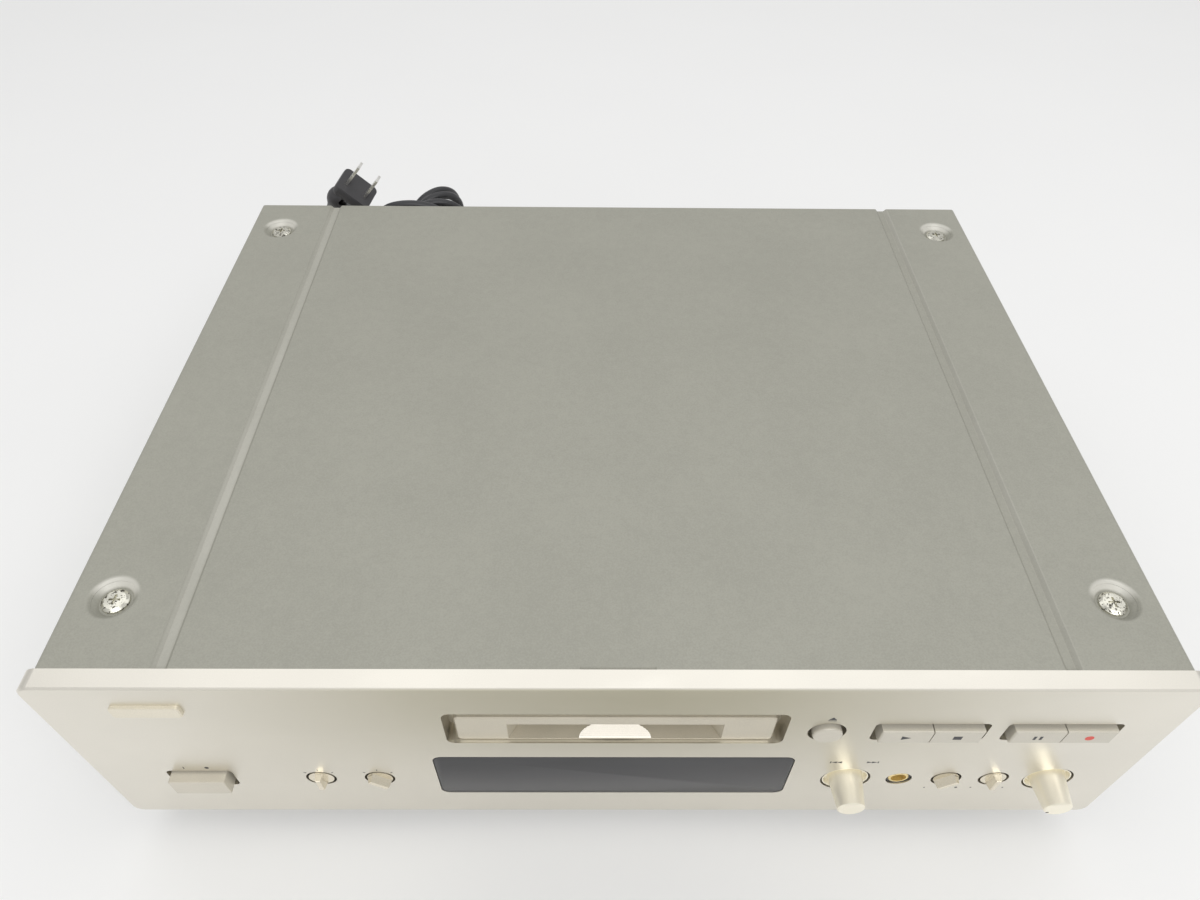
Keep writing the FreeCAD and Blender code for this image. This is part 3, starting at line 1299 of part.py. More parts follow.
def cord_tie():
    """Band round the hank's waist."""
    turn = Rotation(Vector(1, 0, 0), HANK_LEAN)
    piece = Piece("cord_tie", at=HANK_AT, turn=turn)
    piece.pad("XY", 59, 6, Rounded(0, 0, 17, 24.6, 6.6))
    piece.cut("XY", 58, 8, Rounded(0, 0, 14.2, 21.8, 5.2))


# The plug's face centre and the direction its blades point.
PLUG_AT = (-157.0, 177.3, 132.3)
PLUG_POSE = Rotation(Vector(0.75, -0.09, -0.65), Vector(0.14, 0.99, 0.02), Vector(0.65, -0.10, 0.76), "ZXY")


def plug_body():
    """Moulded two-blade plug with a tapered neck for the cord."""
    piece = Piece("plug_body", at=PLUG_AT, turn=PLUG_POSE)
    piece.pad("XY", -15, 15, Rounded(0, 0, 23, 13, 2.4))
    piece.dress("Fillet", 1.2, lambda edge: near(edge.BoundBox.ZMax, -15))
    piece.loft("AdditiveLoft", "neck", (-14.5, Circle(-5.6, 0, 12)), (-26, Circle(-5.5, 0, 7.2)))


def plug_blades():
    """Two flat brass blades."""
    piece = Piece("plug_blades", at=PLUG_AT, turn=PLUG_POSE)
    piece.pad("XY", 0, 17, *[Centred(side, 0, 1.5, 6.3) for side in (-6.35, 6.35)])


# ---------------------------------------------------------------- build, check and write

def build():
    """Build every sub-part in the order the deck is assembled."""
    front_panel()
    slot_escutcheon()
    slot_shutter()
    display_window()
    nameplate()
    power_button()
    eject_button()
    key("play_button", S.pair_left_side, -1)
    key("stop_button", S.pair_left_side, 1)
    key("pause_button", S.pair_right_side, -1)
    key("record_button", S.pair_right_side, 1)
    large_knob("track_knob", S.track_side)
    large_knob("record_level_knob", S.level_side)
    shaft("track_shaft", S.track_side)
    shaft("record_level_shaft", S.level_side)
    for name, side, spin in (("timer_knob", S.timer_side, 0), ("input_knob", S.input_side, 45),
                             ("phones_level_knob", S.phones_side, -45), ("balance_knob", S.balance_side, 0)):
        small_knob(name, side, spin)
    rotary_controls()
    headphone_jack()
    jack_bushing()
    front_frame()
    front_board()
    switches()
    display_tube()
    base_chassis()
    rear_panel()
    top_cover()
    cover_screws()
    feet()
    foot_pads()
    drive_bracket()
    drive_dampers()
    drive_chassis()
    disc_holder()
    load_slider()
    load_gear()
    load_motor()
    spindle_motor()
    turntable()
    optical_pickup()
    head_arm()
    guide_rods()
    feed_screw()
    feed_motor()
    board("main_board", -55, 205)
    board("power_board", -205, -60)
    board_parts()
    heat_sink()
    transformer()
    transformer_coil()
    rca_jacks()
    optical_sockets()
    strain_relief()
    power_cord()
    cord_hank()
    cord_tie()
    plug_body()
    plug_blades()


def check():
    """Stop if any feature failed, if a cut removed nothing or if a shape isn't valid."""
    doc.recompute()
    problems = []
    for item in doc.Objects:
        if "Invalid" in item.State or "Error" in item.State:
            problems.append(f"{item.Name}: {item.State}")
        if item.TypeId in ("PartDesign::Pocket", "PartDesign::Groove"):
            if item.Shape.Volume >= item.BaseFeature.Shape.Volume - 1e-6:
                problems.append(f"{item.Name}: cuts nothing")
    for piece in PIECES:
        if piece.Shape.isNull() or not piece.Shape.isValid() or not piece.Shape.Solids:
            problems.append(f"{piece.Label}: shape is null or not valid")
    if problems:
        raise RuntimeError("; ".join(problems))


def write():
    """Write each sub-part to its own STEP file."""
    os.makedirs("parts", exist_ok=True)
    for piece in PIECES:
        piece.Shape.exportStep(f"parts/{piece.Label}.step")
    print("sub-parts", len(PIECES), "solids", sum(len(piece.Shape.Solids) for piece in PIECES))


build()
check()
write()
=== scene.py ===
"""Looks of the disc deck: finishes, printed marks, fasteners, mains cord, studio and camera.

Lengths are in millimetres in the deck's own frame and turn into metres where a mesh or curve is made.
"""

from __future__ import annotations

import json
import logging
import math
from dataclasses import dataclass
from enum import Enum
from functools import cache
from typing import ClassVar, Sequence, Union

import bmesh
import bpy
from mathutils import Matrix, Vector

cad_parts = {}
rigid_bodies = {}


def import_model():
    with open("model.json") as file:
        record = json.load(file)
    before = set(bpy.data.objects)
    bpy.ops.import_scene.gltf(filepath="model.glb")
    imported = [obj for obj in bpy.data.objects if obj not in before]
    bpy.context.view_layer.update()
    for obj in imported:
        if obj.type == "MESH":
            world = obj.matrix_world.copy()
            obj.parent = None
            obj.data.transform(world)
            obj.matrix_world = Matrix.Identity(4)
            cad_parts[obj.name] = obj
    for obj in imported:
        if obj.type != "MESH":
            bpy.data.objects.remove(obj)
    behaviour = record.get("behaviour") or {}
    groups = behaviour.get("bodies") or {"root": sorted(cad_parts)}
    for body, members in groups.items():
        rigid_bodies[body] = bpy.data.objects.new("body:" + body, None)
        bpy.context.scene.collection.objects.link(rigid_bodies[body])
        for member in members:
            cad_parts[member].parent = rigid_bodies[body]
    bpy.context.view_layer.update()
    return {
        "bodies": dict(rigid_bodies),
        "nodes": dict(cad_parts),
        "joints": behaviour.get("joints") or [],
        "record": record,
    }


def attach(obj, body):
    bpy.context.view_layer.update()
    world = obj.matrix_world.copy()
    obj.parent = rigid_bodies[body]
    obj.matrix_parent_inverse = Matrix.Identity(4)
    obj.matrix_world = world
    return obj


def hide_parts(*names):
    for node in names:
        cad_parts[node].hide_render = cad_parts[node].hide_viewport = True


LOG = logging.getLogger("disc_deck")
MM = 0.001
METRE = 1000
# where the faces of the front and rear panels stand on Y
PANEL_FACE = -159.35
REAR_FACE = 161.35
# a wave texture of scale 1 repeats this many times in pi metres
WAVES_PER_PI = 10

Colour = tuple[float, float, float]
Flat = tuple[float, float]
Point = tuple[float, float, float]
Four = tuple[float, float, float, float]
Spot = Union[Point, Vector]
Path = Sequence[Flat]
Course = Sequence[Point]
Ring = list[bmesh.types.BMVert]
Object = bpy.types.Object
Socket = bpy.types.NodeSocket


def shade(colour: Colour, factor: float = 1.0) -> tuple[float, ...]:
    """Turn a colour written in display steps into the linear values that shaders take.

    Args:
        colour: Red, green and blue from 0 to 255.
        factor: What makes it darker or paler.

    Returns:
        Red, green and blue from 0 to 1, and full opacity.
    """
    last_step, toe, slope, lift, power = 255, 0.04045, 12.92, 0.055, 2.4
    parts = []
    for step in colour:
        share = step / last_step
        linear = share / slope if share <= toe else ((share + lift) / (1 + lift)) ** power
        parts.append(min(linear * factor, 1.0))
    return *parts, 1.0


# ---- shader maths and node making

@dataclass(eq=False)
class Wire:
    """A number that varies over a surface and takes part in Python arithmetic."""

    bench: Bench
    socket: Socket

    def _maths(self, operation: str, first: Value, second: Value) -> Wire:
        """The result of one Math node."""
        node = self.bench.node("ShaderNodeMath", {"operation": operation}, {0: first, 1: second})
        return Wire(self.bench, node.outputs[0])

    def __add__(self, other: Value) -> Wire:
        """This plus another."""
        return self._maths("ADD", self, other)

    def __radd__(self, other: Value) -> Wire:
        """Another plus this."""
        return self._maths("ADD", other, self)

    def __sub__(self, other: Value) -> Wire:
        """This less another."""
        return self._maths("SUBTRACT", self, other)

    def __rsub__(self, other: Value) -> Wire:
        """Another less this."""
        return self._maths("SUBTRACT", other, self)

    def __mul__(self, other: Value) -> Wire:
        """This times another."""
        return self._maths("MULTIPLY", self, other)

    def __pow__(self, other: Value) -> Wire:
        """This to the power of another."""
        return self._maths("POWER", self, other)

    def size(self) -> Wire:
        """This without its sign."""
        return self._maths("ABSOLUTE", self, 0.0)

    def span(self, low: float, high: float) -> Wire:
        """Stretch the part between two levels to the whole of 0 to 1, with soft ends."""
        node = self.bench.node("ShaderNodeMapRange", {"interpolation_type": "SMOOTHSTEP"},
                               {0: self, 1: low, 2: high})
        return Wire(self.bench, node.outputs[0])

    def ridge(self, foot: float, top: float, edge: float, end: float) -> Wire:
        """Climb from 0 to 1 between the first two levels and drop back between the other two."""
        return self.span(foot, top) * (1 - self.span(edge, end))

    def lifted(self, least: float) -> Wire:
        """Squeeze 0 to 1 into the part of it above a least value."""
        return self * (1 - least) + least


Value = Union[Wire, Socket, float, Sequence[float]]


class Bench:
    """The node tree of one material, with its Principled shader."""

    def __init__(self, name: str) -> None:
        """Make an empty material and join its shader to its output."""
        self.material = bpy.data.materials.new(name)
        self.material.use_nodes = True
        self.tree = self.material.node_tree
        self.tree.nodes.clear()
        self.shader = self.node("ShaderNodeBsdfPrincipled")
        self.node("ShaderNodeOutputMaterial", {}, {"Surface": self.shader.outputs[0]})
        self.place = self.node("ShaderNodeTexCoord").outputs["Object"]

    def node(self, kind: str, settings: dict[str, object] | None = None,
             values: dict[int | str, Value] | None = None) -> bpy.types.Node:
        """Make a node of any kind.

        Args:
            kind: The node's type.
            settings: Its own properties, set before its sockets.
            values: What each input socket holds or is linked to.

        Returns:
            The node.
        """
        node = self.tree.nodes.new(kind)
        for key, setting in (settings or {}).items():
            setattr(node, key, setting)
        for key, value in (values or {}).items():
            self.feed(node.inputs[key], value)
        return node

    def feed(self, socket: Socket, value: Value) -> None:
        """Link an input socket to what a value comes from, or set it to a plain value.

        Args:
            socket: The input socket.
            value: A wire, an output socket or a plain value.
        """
        source = value.socket if isinstance(value, Wire) else value
        if isinstance(source, Socket):
            self.tree.links.new(source, socket)
        else:
            socket.default_value = source

    def dress(self, **values: Value) -> None:
        """Set the shader's sockets by name, with an underscore for each space."""
        for key, value in values.items():
            self.feed(self.shader.inputs[key.replace("_", " ")], value)

    def along(self, axis: str) -> Wire:
        """The object's own coordinate on one axis, in millimetres."""
        split = self.node("ShaderNodeSeparateXYZ", {}, {0: self.place})
        return Wire(self, split.outputs[axis]) * METRE

    def cloud(self, size: float, detail: float = 2.0, stretch: Point = (1, 1, 1)) -> Wire:
        """Soft random patches.

        Args:
            size: Width of a patch in millimetres.
            detail: How many finer layers it has.
            stretch: Factors on the three axes, below 1 for patches that run long.

        Returns:
            A value about 0.5.
        """
        place = self.node("ShaderNodeVectorMath", {"operation": "MULTIPLY"}, {0: self.place, 1: stretch})
        values = {"Vector": place.outputs[0], "Scale": METRE / size, "Detail": detail}
        return Wire(self, self.node("ShaderNodeTexNoise", {}, values).outputs["Fac"])

    def cells(self, size: float) -> Wire:
        """Distance inside random cells of a width in millimetres."""
        node = self.node("ShaderNodeTexVoronoi", {}, {"Vector": self.place, "Scale": METRE / size})
        return Wire(self, node.outputs["Distance"])

    def bands(self, size: float, axis: str, wobble: float = 0.0) -> Wire:
        """Even bands across an axis.

        Args:
            size: Distance from one band to the next in millimetres.
            axis: X, Y or Z.
            wobble: How far the bands wander.

        Returns:
            A wave between 0 and 1.
        """
        settings = {"wave_type": "BANDS", "bands_direction": axis}
        scale = METRE / size * math.pi / WAVES_PER_PI
        values = {"Vector": self.place, "Scale": scale, "Distortion": wobble}
        return Wire(self, self.node("ShaderNodeTexWave", settings, values).outputs["Fac"])

    def mix(self, factor: Value, first: Value, second: Value) -> Socket:
        """A colour between two others."""
        return self.node("ShaderNodeMix", {"data_type": "RGBA"},
                         {0: factor, 6: first, 7: second}).outputs[2]

    def tint(self, colour: Colour, swing: float, mask: Value) -> Socket:
        """A colour that a mask makes darker and paler by a share of itself."""
        return self.mix(mask, shade(colour, 1 - swing), shade(colour, 1 + swing))

    def bump(self, height: Wire, depth: float) -> Socket:
        """The normal of a surface whose height of 1 stands for a depth in millimetres."""
        values = {"Height": height, "Distance": depth * MM, "Strength": 1.0}
        return self.node("ShaderNodeBump", {}, values).outputs[0]


# ---- finishes

@dataclass(frozen=True)
class Finish:
    """What every finish has, and how its material comes about."""

    name: str
    colour: Colour

    def make(self) -> bpy.types.Material:
        """Make the material."""
        bench = Bench(self.name)
        self.lay(bench)
        return bench.material

    def lay(self, bench: Bench) -> None:
        """Dress the shader of a bench."""
        raise NotImplementedError


@dataclass(frozen=True)
class Anodised(Finish):
    """Bead-blasted and anodised aluminium."""

    rough: float = 0.34
    grain: float = 0.012
    metal: float = 1.0
    # painted shade: its darker colour, its half width across, the levels where it rises and the depths behind
    # the face where it stops
    painted_shade: Colour | None = None
    shade_half_width: float = 230.0
    rise: Flat = (34.0, 128.0)
    shade_face_depths: Flat = (0.1, 0.9)

    def depth(self, bench: Bench) -> Wire:
        """Where painted shade darkens the upper middle of the panel's face, in place of a darker reflection
        there.

        Args:
            bench: The material's bench.

        Returns:
            A mask of the painted shade.
        """
        middle = 1 - bench.along("X").size().span(0, self.shade_half_width)
        height = bench.along("Z").span(*self.rise).lifted(0.1)
        near, far = self.shade_face_depths
        face = 1 - bench.along("Y").span(PANEL_FACE + near, PANEL_FACE + far)
        return middle * height * face

    def lay(self, bench: Bench) -> None:
        """Fine grain, slow changes of tone, faint handling marks and, where given, painted shade on the
        panel's face.
        """
        slow, fine = bench.cloud(60, 3), bench.cloud(0.45, 2)
        rubbed = bench.cloud(24, 4, (0.35, 1, 1)).span(0.56, 0.74)
        tone = bench.tint(self.colour, 0.035, (slow * 0.6 + fine * 0.4).span(0.3, 0.7))
        # painted shade darkens the upper middle of the face, in place of a darker reflection
        if self.painted_shade:
            tone = bench.mix(self.depth(bench) * (slow * 0.3 + 0.85), tone, shade(self.painted_shade))
        bench.dress(Base_Color=tone, Metallic=self.metal,
                    Roughness=self.rough + fine * 0.06 - rubbed * 0.05,
                    Normal=bench.bump(fine, self.grain))


@dataclass(frozen=True)
class Coated(Finish):
    """Sheet steel with a fine matt coating, and a painted highlight on the grooves' walls and the rear rims
    of the screw dishes.

    A wall or rim is given by four distances from its groove or dish: where the painted highlight begins,
    is full, starts to fade and ends.
    """

    pale: Colour
    rough: float = 0.5
    groove: float = 167.4
    left_wall: Four = (-3.2, -0.6, 2.4, 3.6)
    right_wall: Four = (1.2, 2.0, 3.0, 4.2)
    dish_side: float = 195.5
    dishes: Flat = (-120.65, 137.35)
    dish_rim: Four = (6.2, 7.2, 8.7, 10.6)
    dish_fade: float = 5.5

    def painted_highlight(self, bench: Bench) -> Wire:
        """Where a painted highlight lightens the grooves' outer walls and the rear of the screw dishes, in
        place of light falling on them.

        Args:
            bench: The material's bench.

        Returns:
            A mask of the painted highlight.
        """
        across, place = bench.along("X"), bench.along("Y")
        side = across.size()
        patch = bench.cloud(26, 3, (1, 0.3, 1)).span(0.3, 0.7).lifted(0.5)
        left, right = across * -1.0 - self.groove, across - self.groove
        mask = left.ridge(*self.left_wall) * patch * 0.4 + right.ridge(*self.right_wall) * patch * 0.3
        for middle in self.dishes:
            away = ((side - self.dish_side) ** 2 + (place - middle) ** 2) ** 0.5
            mask = mask + away.ridge(*self.dish_rim) * (place - middle).span(0, self.dish_fade)
        return mask

    def lay(self, bench: Bench) -> None:
        """Close texture, faint blotches, a few fine scratches and the painted highlight on walls and rims."""
        slow, blotch, fine = bench.cloud(60, 4), bench.cloud(4, 3), bench.cloud(0.7, 3)
        scratch = bench.cloud(9, 6, (0.12, 1, 1)).span(0.74, 0.8)
        texture = (slow * 0.25 + blotch * 0.2 + fine * 0.55).span(0.32, 0.68)
        # painted highlight: the pale colour on the walls and rims stands for light falling on them
        painted_highlight = self.painted_highlight(bench)
        plain = bench.tint(self.colour, 0.075, texture)
        tone = bench.mix(painted_highlight + scratch * 0.25, plain, shade(self.pale))
        bench.dress(Base_Color=tone, Metallic=0.1,
                    Roughness=self.rough + (fine - 0.5) * 0.16 - painted_highlight * 0.1,
                    Normal=bench.bump(fine, 0.035))


@dataclass(frozen=True)
class Pearl(Finish):
    """Plastic sprayed with a satin metallic lacquer."""

    metal: float = 0.65
    rough: float = 0.26

    def lay(self, bench: Bench) -> None:
        """Fine flake under a smooth, slightly uneven lacquer."""
        slow, flake = bench.cloud(12, 3), bench.cells(0.35)
        bench.dress(Base_Color=bench.tint(self.colour, 0.05, (slow * 0.5 + flake * 0.5).span(0.2, 0.7)),
                    Metallic=self.metal, Roughness=self.rough + slow * 0.08,
                    Normal=bench.bump(flake, 0.001), Coat_Weight=0.15)


@dataclass(frozen=True)
class Moulded(Finish):
    """Moulded plastic or rubber with a fine spark-eroded texture."""

    rough: float = 0.45
    size: float = 0.5
    depth: float = 0.008
    swing: float = 0.05

    def lay(self, bench: Bench) -> None:
        """Fine texture under a slow change of gloss."""
        slow, fine = bench.cloud(18, 3), bench.cloud(self.size, 2)
        texture = (slow * 0.6 + fine * 0.4).span(0.3, 0.7)
        bench.dress(Base_Color=bench.tint(self.colour, self.swing, texture),
                    Roughness=self.rough + (slow - 0.5) * 0.18,
                    Normal=bench.bump(fine, self.depth))


@dataclass(frozen=True)
class Plated(Finish):
    """Plated or rolled metal, with streaks along one axis and dull specks where it has worn."""

    rough: float = 0.34
    streak: Point = (1, 1, 1)
    worn: float = 0.0
    bare: Colour = (74, 70, 60)

    def lay(self, bench: Bench) -> None:
        """Spangled metal whose worn places turn dull and dark."""
        spangle, lines = bench.cells(3.2), bench.cloud(0.8, 3, self.streak)
        specks = (bench.cloud(1.5, 3) * 0.6 + bench.cloud(0.6, 2) * 0.4).span(0.53, 0.6) * self.worn
        plain = bench.tint(self.colour, 0.12, (spangle * 0.5 + lines * 0.5).span(0.2, 0.8))
        bench.dress(Base_Color=bench.mix(specks, plain, shade(self.bare)),
                    Metallic=1.0 - specks * 0.7,
                    Roughness=self.rough + (lines - 0.5) * 0.2 + specks * 0.35,
                    Normal=bench.bump(lines, 0.01))


@dataclass(frozen=True)
class Sockets(Finish):
    """Gilt socket posts outside the rear panel, on a black moulded block inside it."""

    block: Colour
    rough: float = 0.28

    def lay(self, bench: Bench) -> None:
        """Plating outside and textured plastic inside, with faint wear on both."""
        wear = bench.cloud(2.5, 3)
        outside = bench.along("Y").span(REAR_FACE - 0.4, REAR_FACE - 0.2)
        tone = bench.mix(outside, bench.tint(self.block, 0.06, wear), bench.tint(self.colour, 0.06, wear))
        bench.dress(Base_Color=tone, Metallic=outside,
                    Roughness=self.rough + wear * 0.1 + (1 - outside) * 0.2)


@dataclass(frozen=True)
class Smoked(Finish):
    """Tinted acrylic that lets a little of what lies behind show through."""

    cover: float = 0.97

    def lay(self, bench: Bench) -> None:
        """Glossy face with faint blotches of fine scratches; in its colour the blotches are a painted
        reflection.
        """
        haze_and_painted_reflection = bench.cloud(14, 5, (0.3, 1, 1))
        # the blotches vary the roughness as fine scratches and the colour as a painted reflection
        bench.dress(Base_Color=bench.tint(self.colour, 0.16, haze_and_painted_reflection.span(0.3, 0.7)),
                    Roughness=0.3 + haze_and_painted_reflection * 0.12, Alpha=self.cover, Coat_Weight=0.1)
        bench.material.surface_render_method = "BLENDED"


@dataclass(frozen=True)
class Board(Finish):
    """Circuit board: laminate with copper tracks under a solder mask."""

    track: Colour
    pad: Colour = (176, 170, 156)

    def lay(self, bench: Bench) -> None:
        """Straight tracks in both directions, drowned in the mask's colour."""
        across = bench.bands(2.6, "X", 1.5).span(0.62, 0.7)
        along = bench.bands(3.4, "Y", 1.5).span(0.7, 0.78)
        zone = bench.cells(21).span(0.42, 0.5)
        mask = zone * across + (1 - zone) * along
        pads = 1 - bench.cells(4.2).span(0.16, 0.2)
        tracks = bench.mix(mask, shade(self.colour), shade(self.track))
        bench.dress(Base_Color=bench.mix(pads * 0.8, tracks, shade(self.pad)),
                    Metallic=pads * 0.7, Roughness=0.34 + bench.cloud(3) * 0.15,
                    Normal=bench.bump(mask, 0.04))


@dataclass(frozen=True)
class Wound(Finish):
    """Enamelled copper wire wound round a former."""

    def lay(self, bench: Bench) -> None:
        """Close turns, a little uneven in tone."""
        turns = bench.bands(0.55, "X", 0.3)
        bench.dress(Base_Color=bench.tint(self.colour, 0.25, turns), Metallic=0.8,
                    Roughness=0.3 + bench.cloud(6) * 0.2, Normal=bench.bump(turns, 0.12))


class Tone(Enum):
    """Every finish of the deck."""

    # the panel's darker second colour is painted shade on the upper middle of its face
    PANEL = Anodised("panel_anodised", (231, 227, 217), painted_shade=(180, 175, 155))
    KNOB = Anodised("knob_anodised", (252, 246, 228), 0.3, 0.004, 0.65)
    PLATE = Pearl("nameplate_lacquer", (224, 217, 199), 0.4, 0.3)
    POWER = Pearl("power_lacquer", (201, 195, 180), 0.15, 0.32)
    KEY = Pearl("key_lacquer", (196, 191, 178), 0.15, 0.32)
    SMALL_KNOB = Pearl("knob_lacquer", (230, 222, 203), 0.8, 0.2)
    ESCUTCHEON = Pearl("escutcheon_lacquer", (194, 187, 170), 0.3, 0.34)
    # a paler copy of the escutcheon's lacquer: painted highlight on the finger grip
    GRIP_HIGHLIGHT = Pearl("grip_highlight_lacquer", (240, 235, 224), 0.25, 0.3)
    SHUTTER = Pearl("shutter_lacquer", (234, 223, 196), 0.3, 0.34)
    # the cover's pale second colour is a painted highlight on its groove walls and dish rims
    COVER = Coated("cover_coating", (158, 157, 146), (210, 208, 199))
    SMOKED = Smoked("window_acrylic", (53, 53, 55))
    TUBE = Moulded("tube_glass", (30, 36, 36), 0.12)
    ZINC = Plated("zinc_plate", (196, 194, 184), 0.36, (0.08, 1, 1))
    SCREW = Plated("screw_plate", (222, 220, 208), 0.3, (1, 1, 1), 1.0)
    STEEL = Plated("bright_steel", (206, 205, 202), 0.22, (0.1, 1, 1))
    BRASS = Plated("brass", (240, 218, 158), 0.26, (1, 0.2, 1))
    LINING = Pearl("jack_lining", (214, 184, 108), 0.35, 0.3)
    BLADE = Plated("blade_plate", (232, 231, 226), 0.32, (1, 1, 0.15))
    GILT = Sockets("socket_block", (226, 196, 130), (38, 38, 40))
    BLACK = Moulded("black_plastic", (34, 34, 36), 0.42)
    RUBBER = Moulded("grey_rubber", (58, 58, 58), 0.7, 0.7, 0.02)
    FOOT = Moulded("foot_plastic", (46, 45, 44), 0.5, 0.7, 0.015)
    FELT = Moulded("pad_felt", (72, 68, 62), 0.95, 0.35, 0.12, 0.2)
    NYLON = Moulded("natural_nylon", (222, 216, 200), 0.4)
    MASK = Board("board_mask", (36, 84, 56), (58, 112, 74))
    PARTS = Moulded("part_casings", (44, 44, 50), 0.36, 1.2, 0.02, 0.12)
    COPPER = Wound("coil_wire", (168, 96, 52))
    VINYL = Moulded("cord_vinyl", (50, 50, 52), 0.4, 0.8, 0.012, 0.1)
    PLUG = Moulded("plug_vinyl", (60, 59, 61), 0.46, 0.6, 0.015, 0.1)
    DARK_PRINT = Moulded("dark_print", (64, 64, 66), 0.6, 0.3, 0.003)
    RED_PRINT = Moulded("red_print", (212, 84, 72), 0.55, 0.3, 0.003)
    # dark colour of painted shade for the screws' cross recesses
    RECESS_SHADE = Moulded("recess_shade", (58, 57, 54), 0.6, 0.3, 0.003)
    RED_RING = Moulded("red_insulator", (176, 40, 40), 0.35)
    WHITE_RING = Moulded("white_insulator", (226, 224, 216), 0.35)

    @cache
    def material(self) -> bpy.types.Material:
        """The finish's material, made once."""
        return self.value.make()


# ---- mesh making

def outward(at: Spot, out: Spot, up: Spot = (0, 0, 1)) -> Matrix:
    """A place on a face.

    Args:
        at: The place's origin in millimetres.
        out: The direction that its own Z points in.
        up: The direction that its own Y points towards.

    Returns:
        The matrix from the place's own millimetres to the deck's.
    """
    z = Vector(out).normalized()
    x = Vector(up).cross(z).normalized()
    y = z.cross(x)
    turn = Matrix((x, y, z)).transposed().to_4x4()
    return Matrix.Translation(Vector(at)) @ turn


class Blank:
    """A mesh in the making, in millimetres."""

    def __init__(self) -> None:
        """Start empty."""
        self.mesh = bmesh.new()

    def ring(self, outline: Path, level: float, place: Matrix) -> Ring:
        """Put an outline's points at a level of a place."""
        return [self.mesh.verts.new(place @ Vector((x, y, level))) for x, y in outline]

    def join(self, rings: Sequence[Ring], closed: bool = False) -> None:
        """Put faces between rings that have as many points each.

        Args:
            rings: The rings in order.
            closed: Whether the last ring is joined to the first, in place of a face over each end.
        """
        for first, second in zip(rings, [*rings[1:], rings[0]] if closed else rings[1:]):
            for k in range(len(first)):
                after = (k + 1) % len(first)
                self.mesh.faces.new((first[k], first[after], second[after], second[k]))
        if not closed:
            self.mesh.faces.new(list(reversed(rings[0])))
            self.mesh.faces.new(rings[-1])

    def loft(self, sections: Sequence[tuple[Path, float]], place: Matrix, closed: bool = False) -> None:
        """Join outlines, each at its own level of a place."""
        self.join([self.ring(outline, level, place) for outline, level in sections], closed)

    def prism(self, outline: Path, low: float, high: float, place: Matrix) -> None:
        """Raise a closed outline, drawn anticlockwise, from one level of a place to another."""
        self.loft([(outline, low), (outline, high)], place)

    def collar(self, profile: Path, place: Matrix, steps: int = 40) -> None:
        """Turn a closed profile of radius and level about a place's Z."""
        self.loft([(disc(radius, steps), level) for radius, level in profile], place, True)

    def finish(self, name: str, tone: Tone, smooth: float = 35.0, body: str = "root") -> Object:
        """Turn the mesh into a piece.

        Args:
            name: The piece's name.
            tone: Its finish.
            smooth: Edges that turn less than this many degrees are shaded smooth.
            body: The body that it rides on.

        Returns:
            The piece.
        """
        bmesh.ops.recalc_face_normals(self.mesh, faces=self.mesh.faces)
        bmesh.ops.scale(self.mesh, vec=(MM, MM, MM), verts=self.mesh.verts)
        data = bpy.data.meshes.new(name)
        self.mesh.to_mesh(data)
        self.mesh.free()
        data.polygons.foreach_set("use_smooth", [True] * len(data.polygons))
        data.set_sharp_from_angle(angle=math.radians(smooth))
        return settle(show(name, data), tone, body)


def show(name: str, data: bpy.types.ID) -> Object:
    """Put an object with some data into the scene."""
    shown = bpy.data.objects.new(name, data)
    bpy.context.scene.collection.objects.link(shown)
    return shown


def settle(piece: Object, tone: Tone, body: str = "root") -> Object:
    """Give a piece its finish and the body that it rides on."""
    piece.data.materials.append(tone.material())
    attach(piece, body)
    LOG.info("piece %s rides on %s", piece.name, body)
    return piece


def disc(radius: float, steps: int = 32, middle: Flat = (0, 0)) -> list[Flat]:
    """Outline of a disc."""
    angles = [math.tau * k / steps for k in range(steps)]
    return [(middle[0] + radius * math.cos(a), middle[1] + radius * math.sin(a)) for a in angles]


def rounded(width: float, height: float, corner: float, middle: Flat = (0, 0)) -> list[Flat]:
    """Outline of a rectangle with round corners.

    Args:
        width: Its whole width.
        height: Its whole height.
        corner: The radius of its corners.
        middle: Its middle.

    Returns:
        The outline's points, anticlockwise.
    """
    path, steps = [], 6
    for quarter, (right, up) in enumerate(((1, 1), (-1, 1), (-1, -1), (1, -1))):
        x = middle[0] + right * (width / 2 - corner)
        y = middle[1] + up * (height / 2 - corner)
        for k in range(steps + 1):
            angle = math.pi / 2 * (quarter + k / steps)
            path.append((x + corner * math.cos(angle), y + corner * math.sin(angle)))
    return path


def block(left: float, right: float, low: float, high: float) -> list[Flat]:
    """Outline of a rectangle."""
    return [(left, low), (right, low), (right, high), (left, high)]


# ---- finishes on the built parts

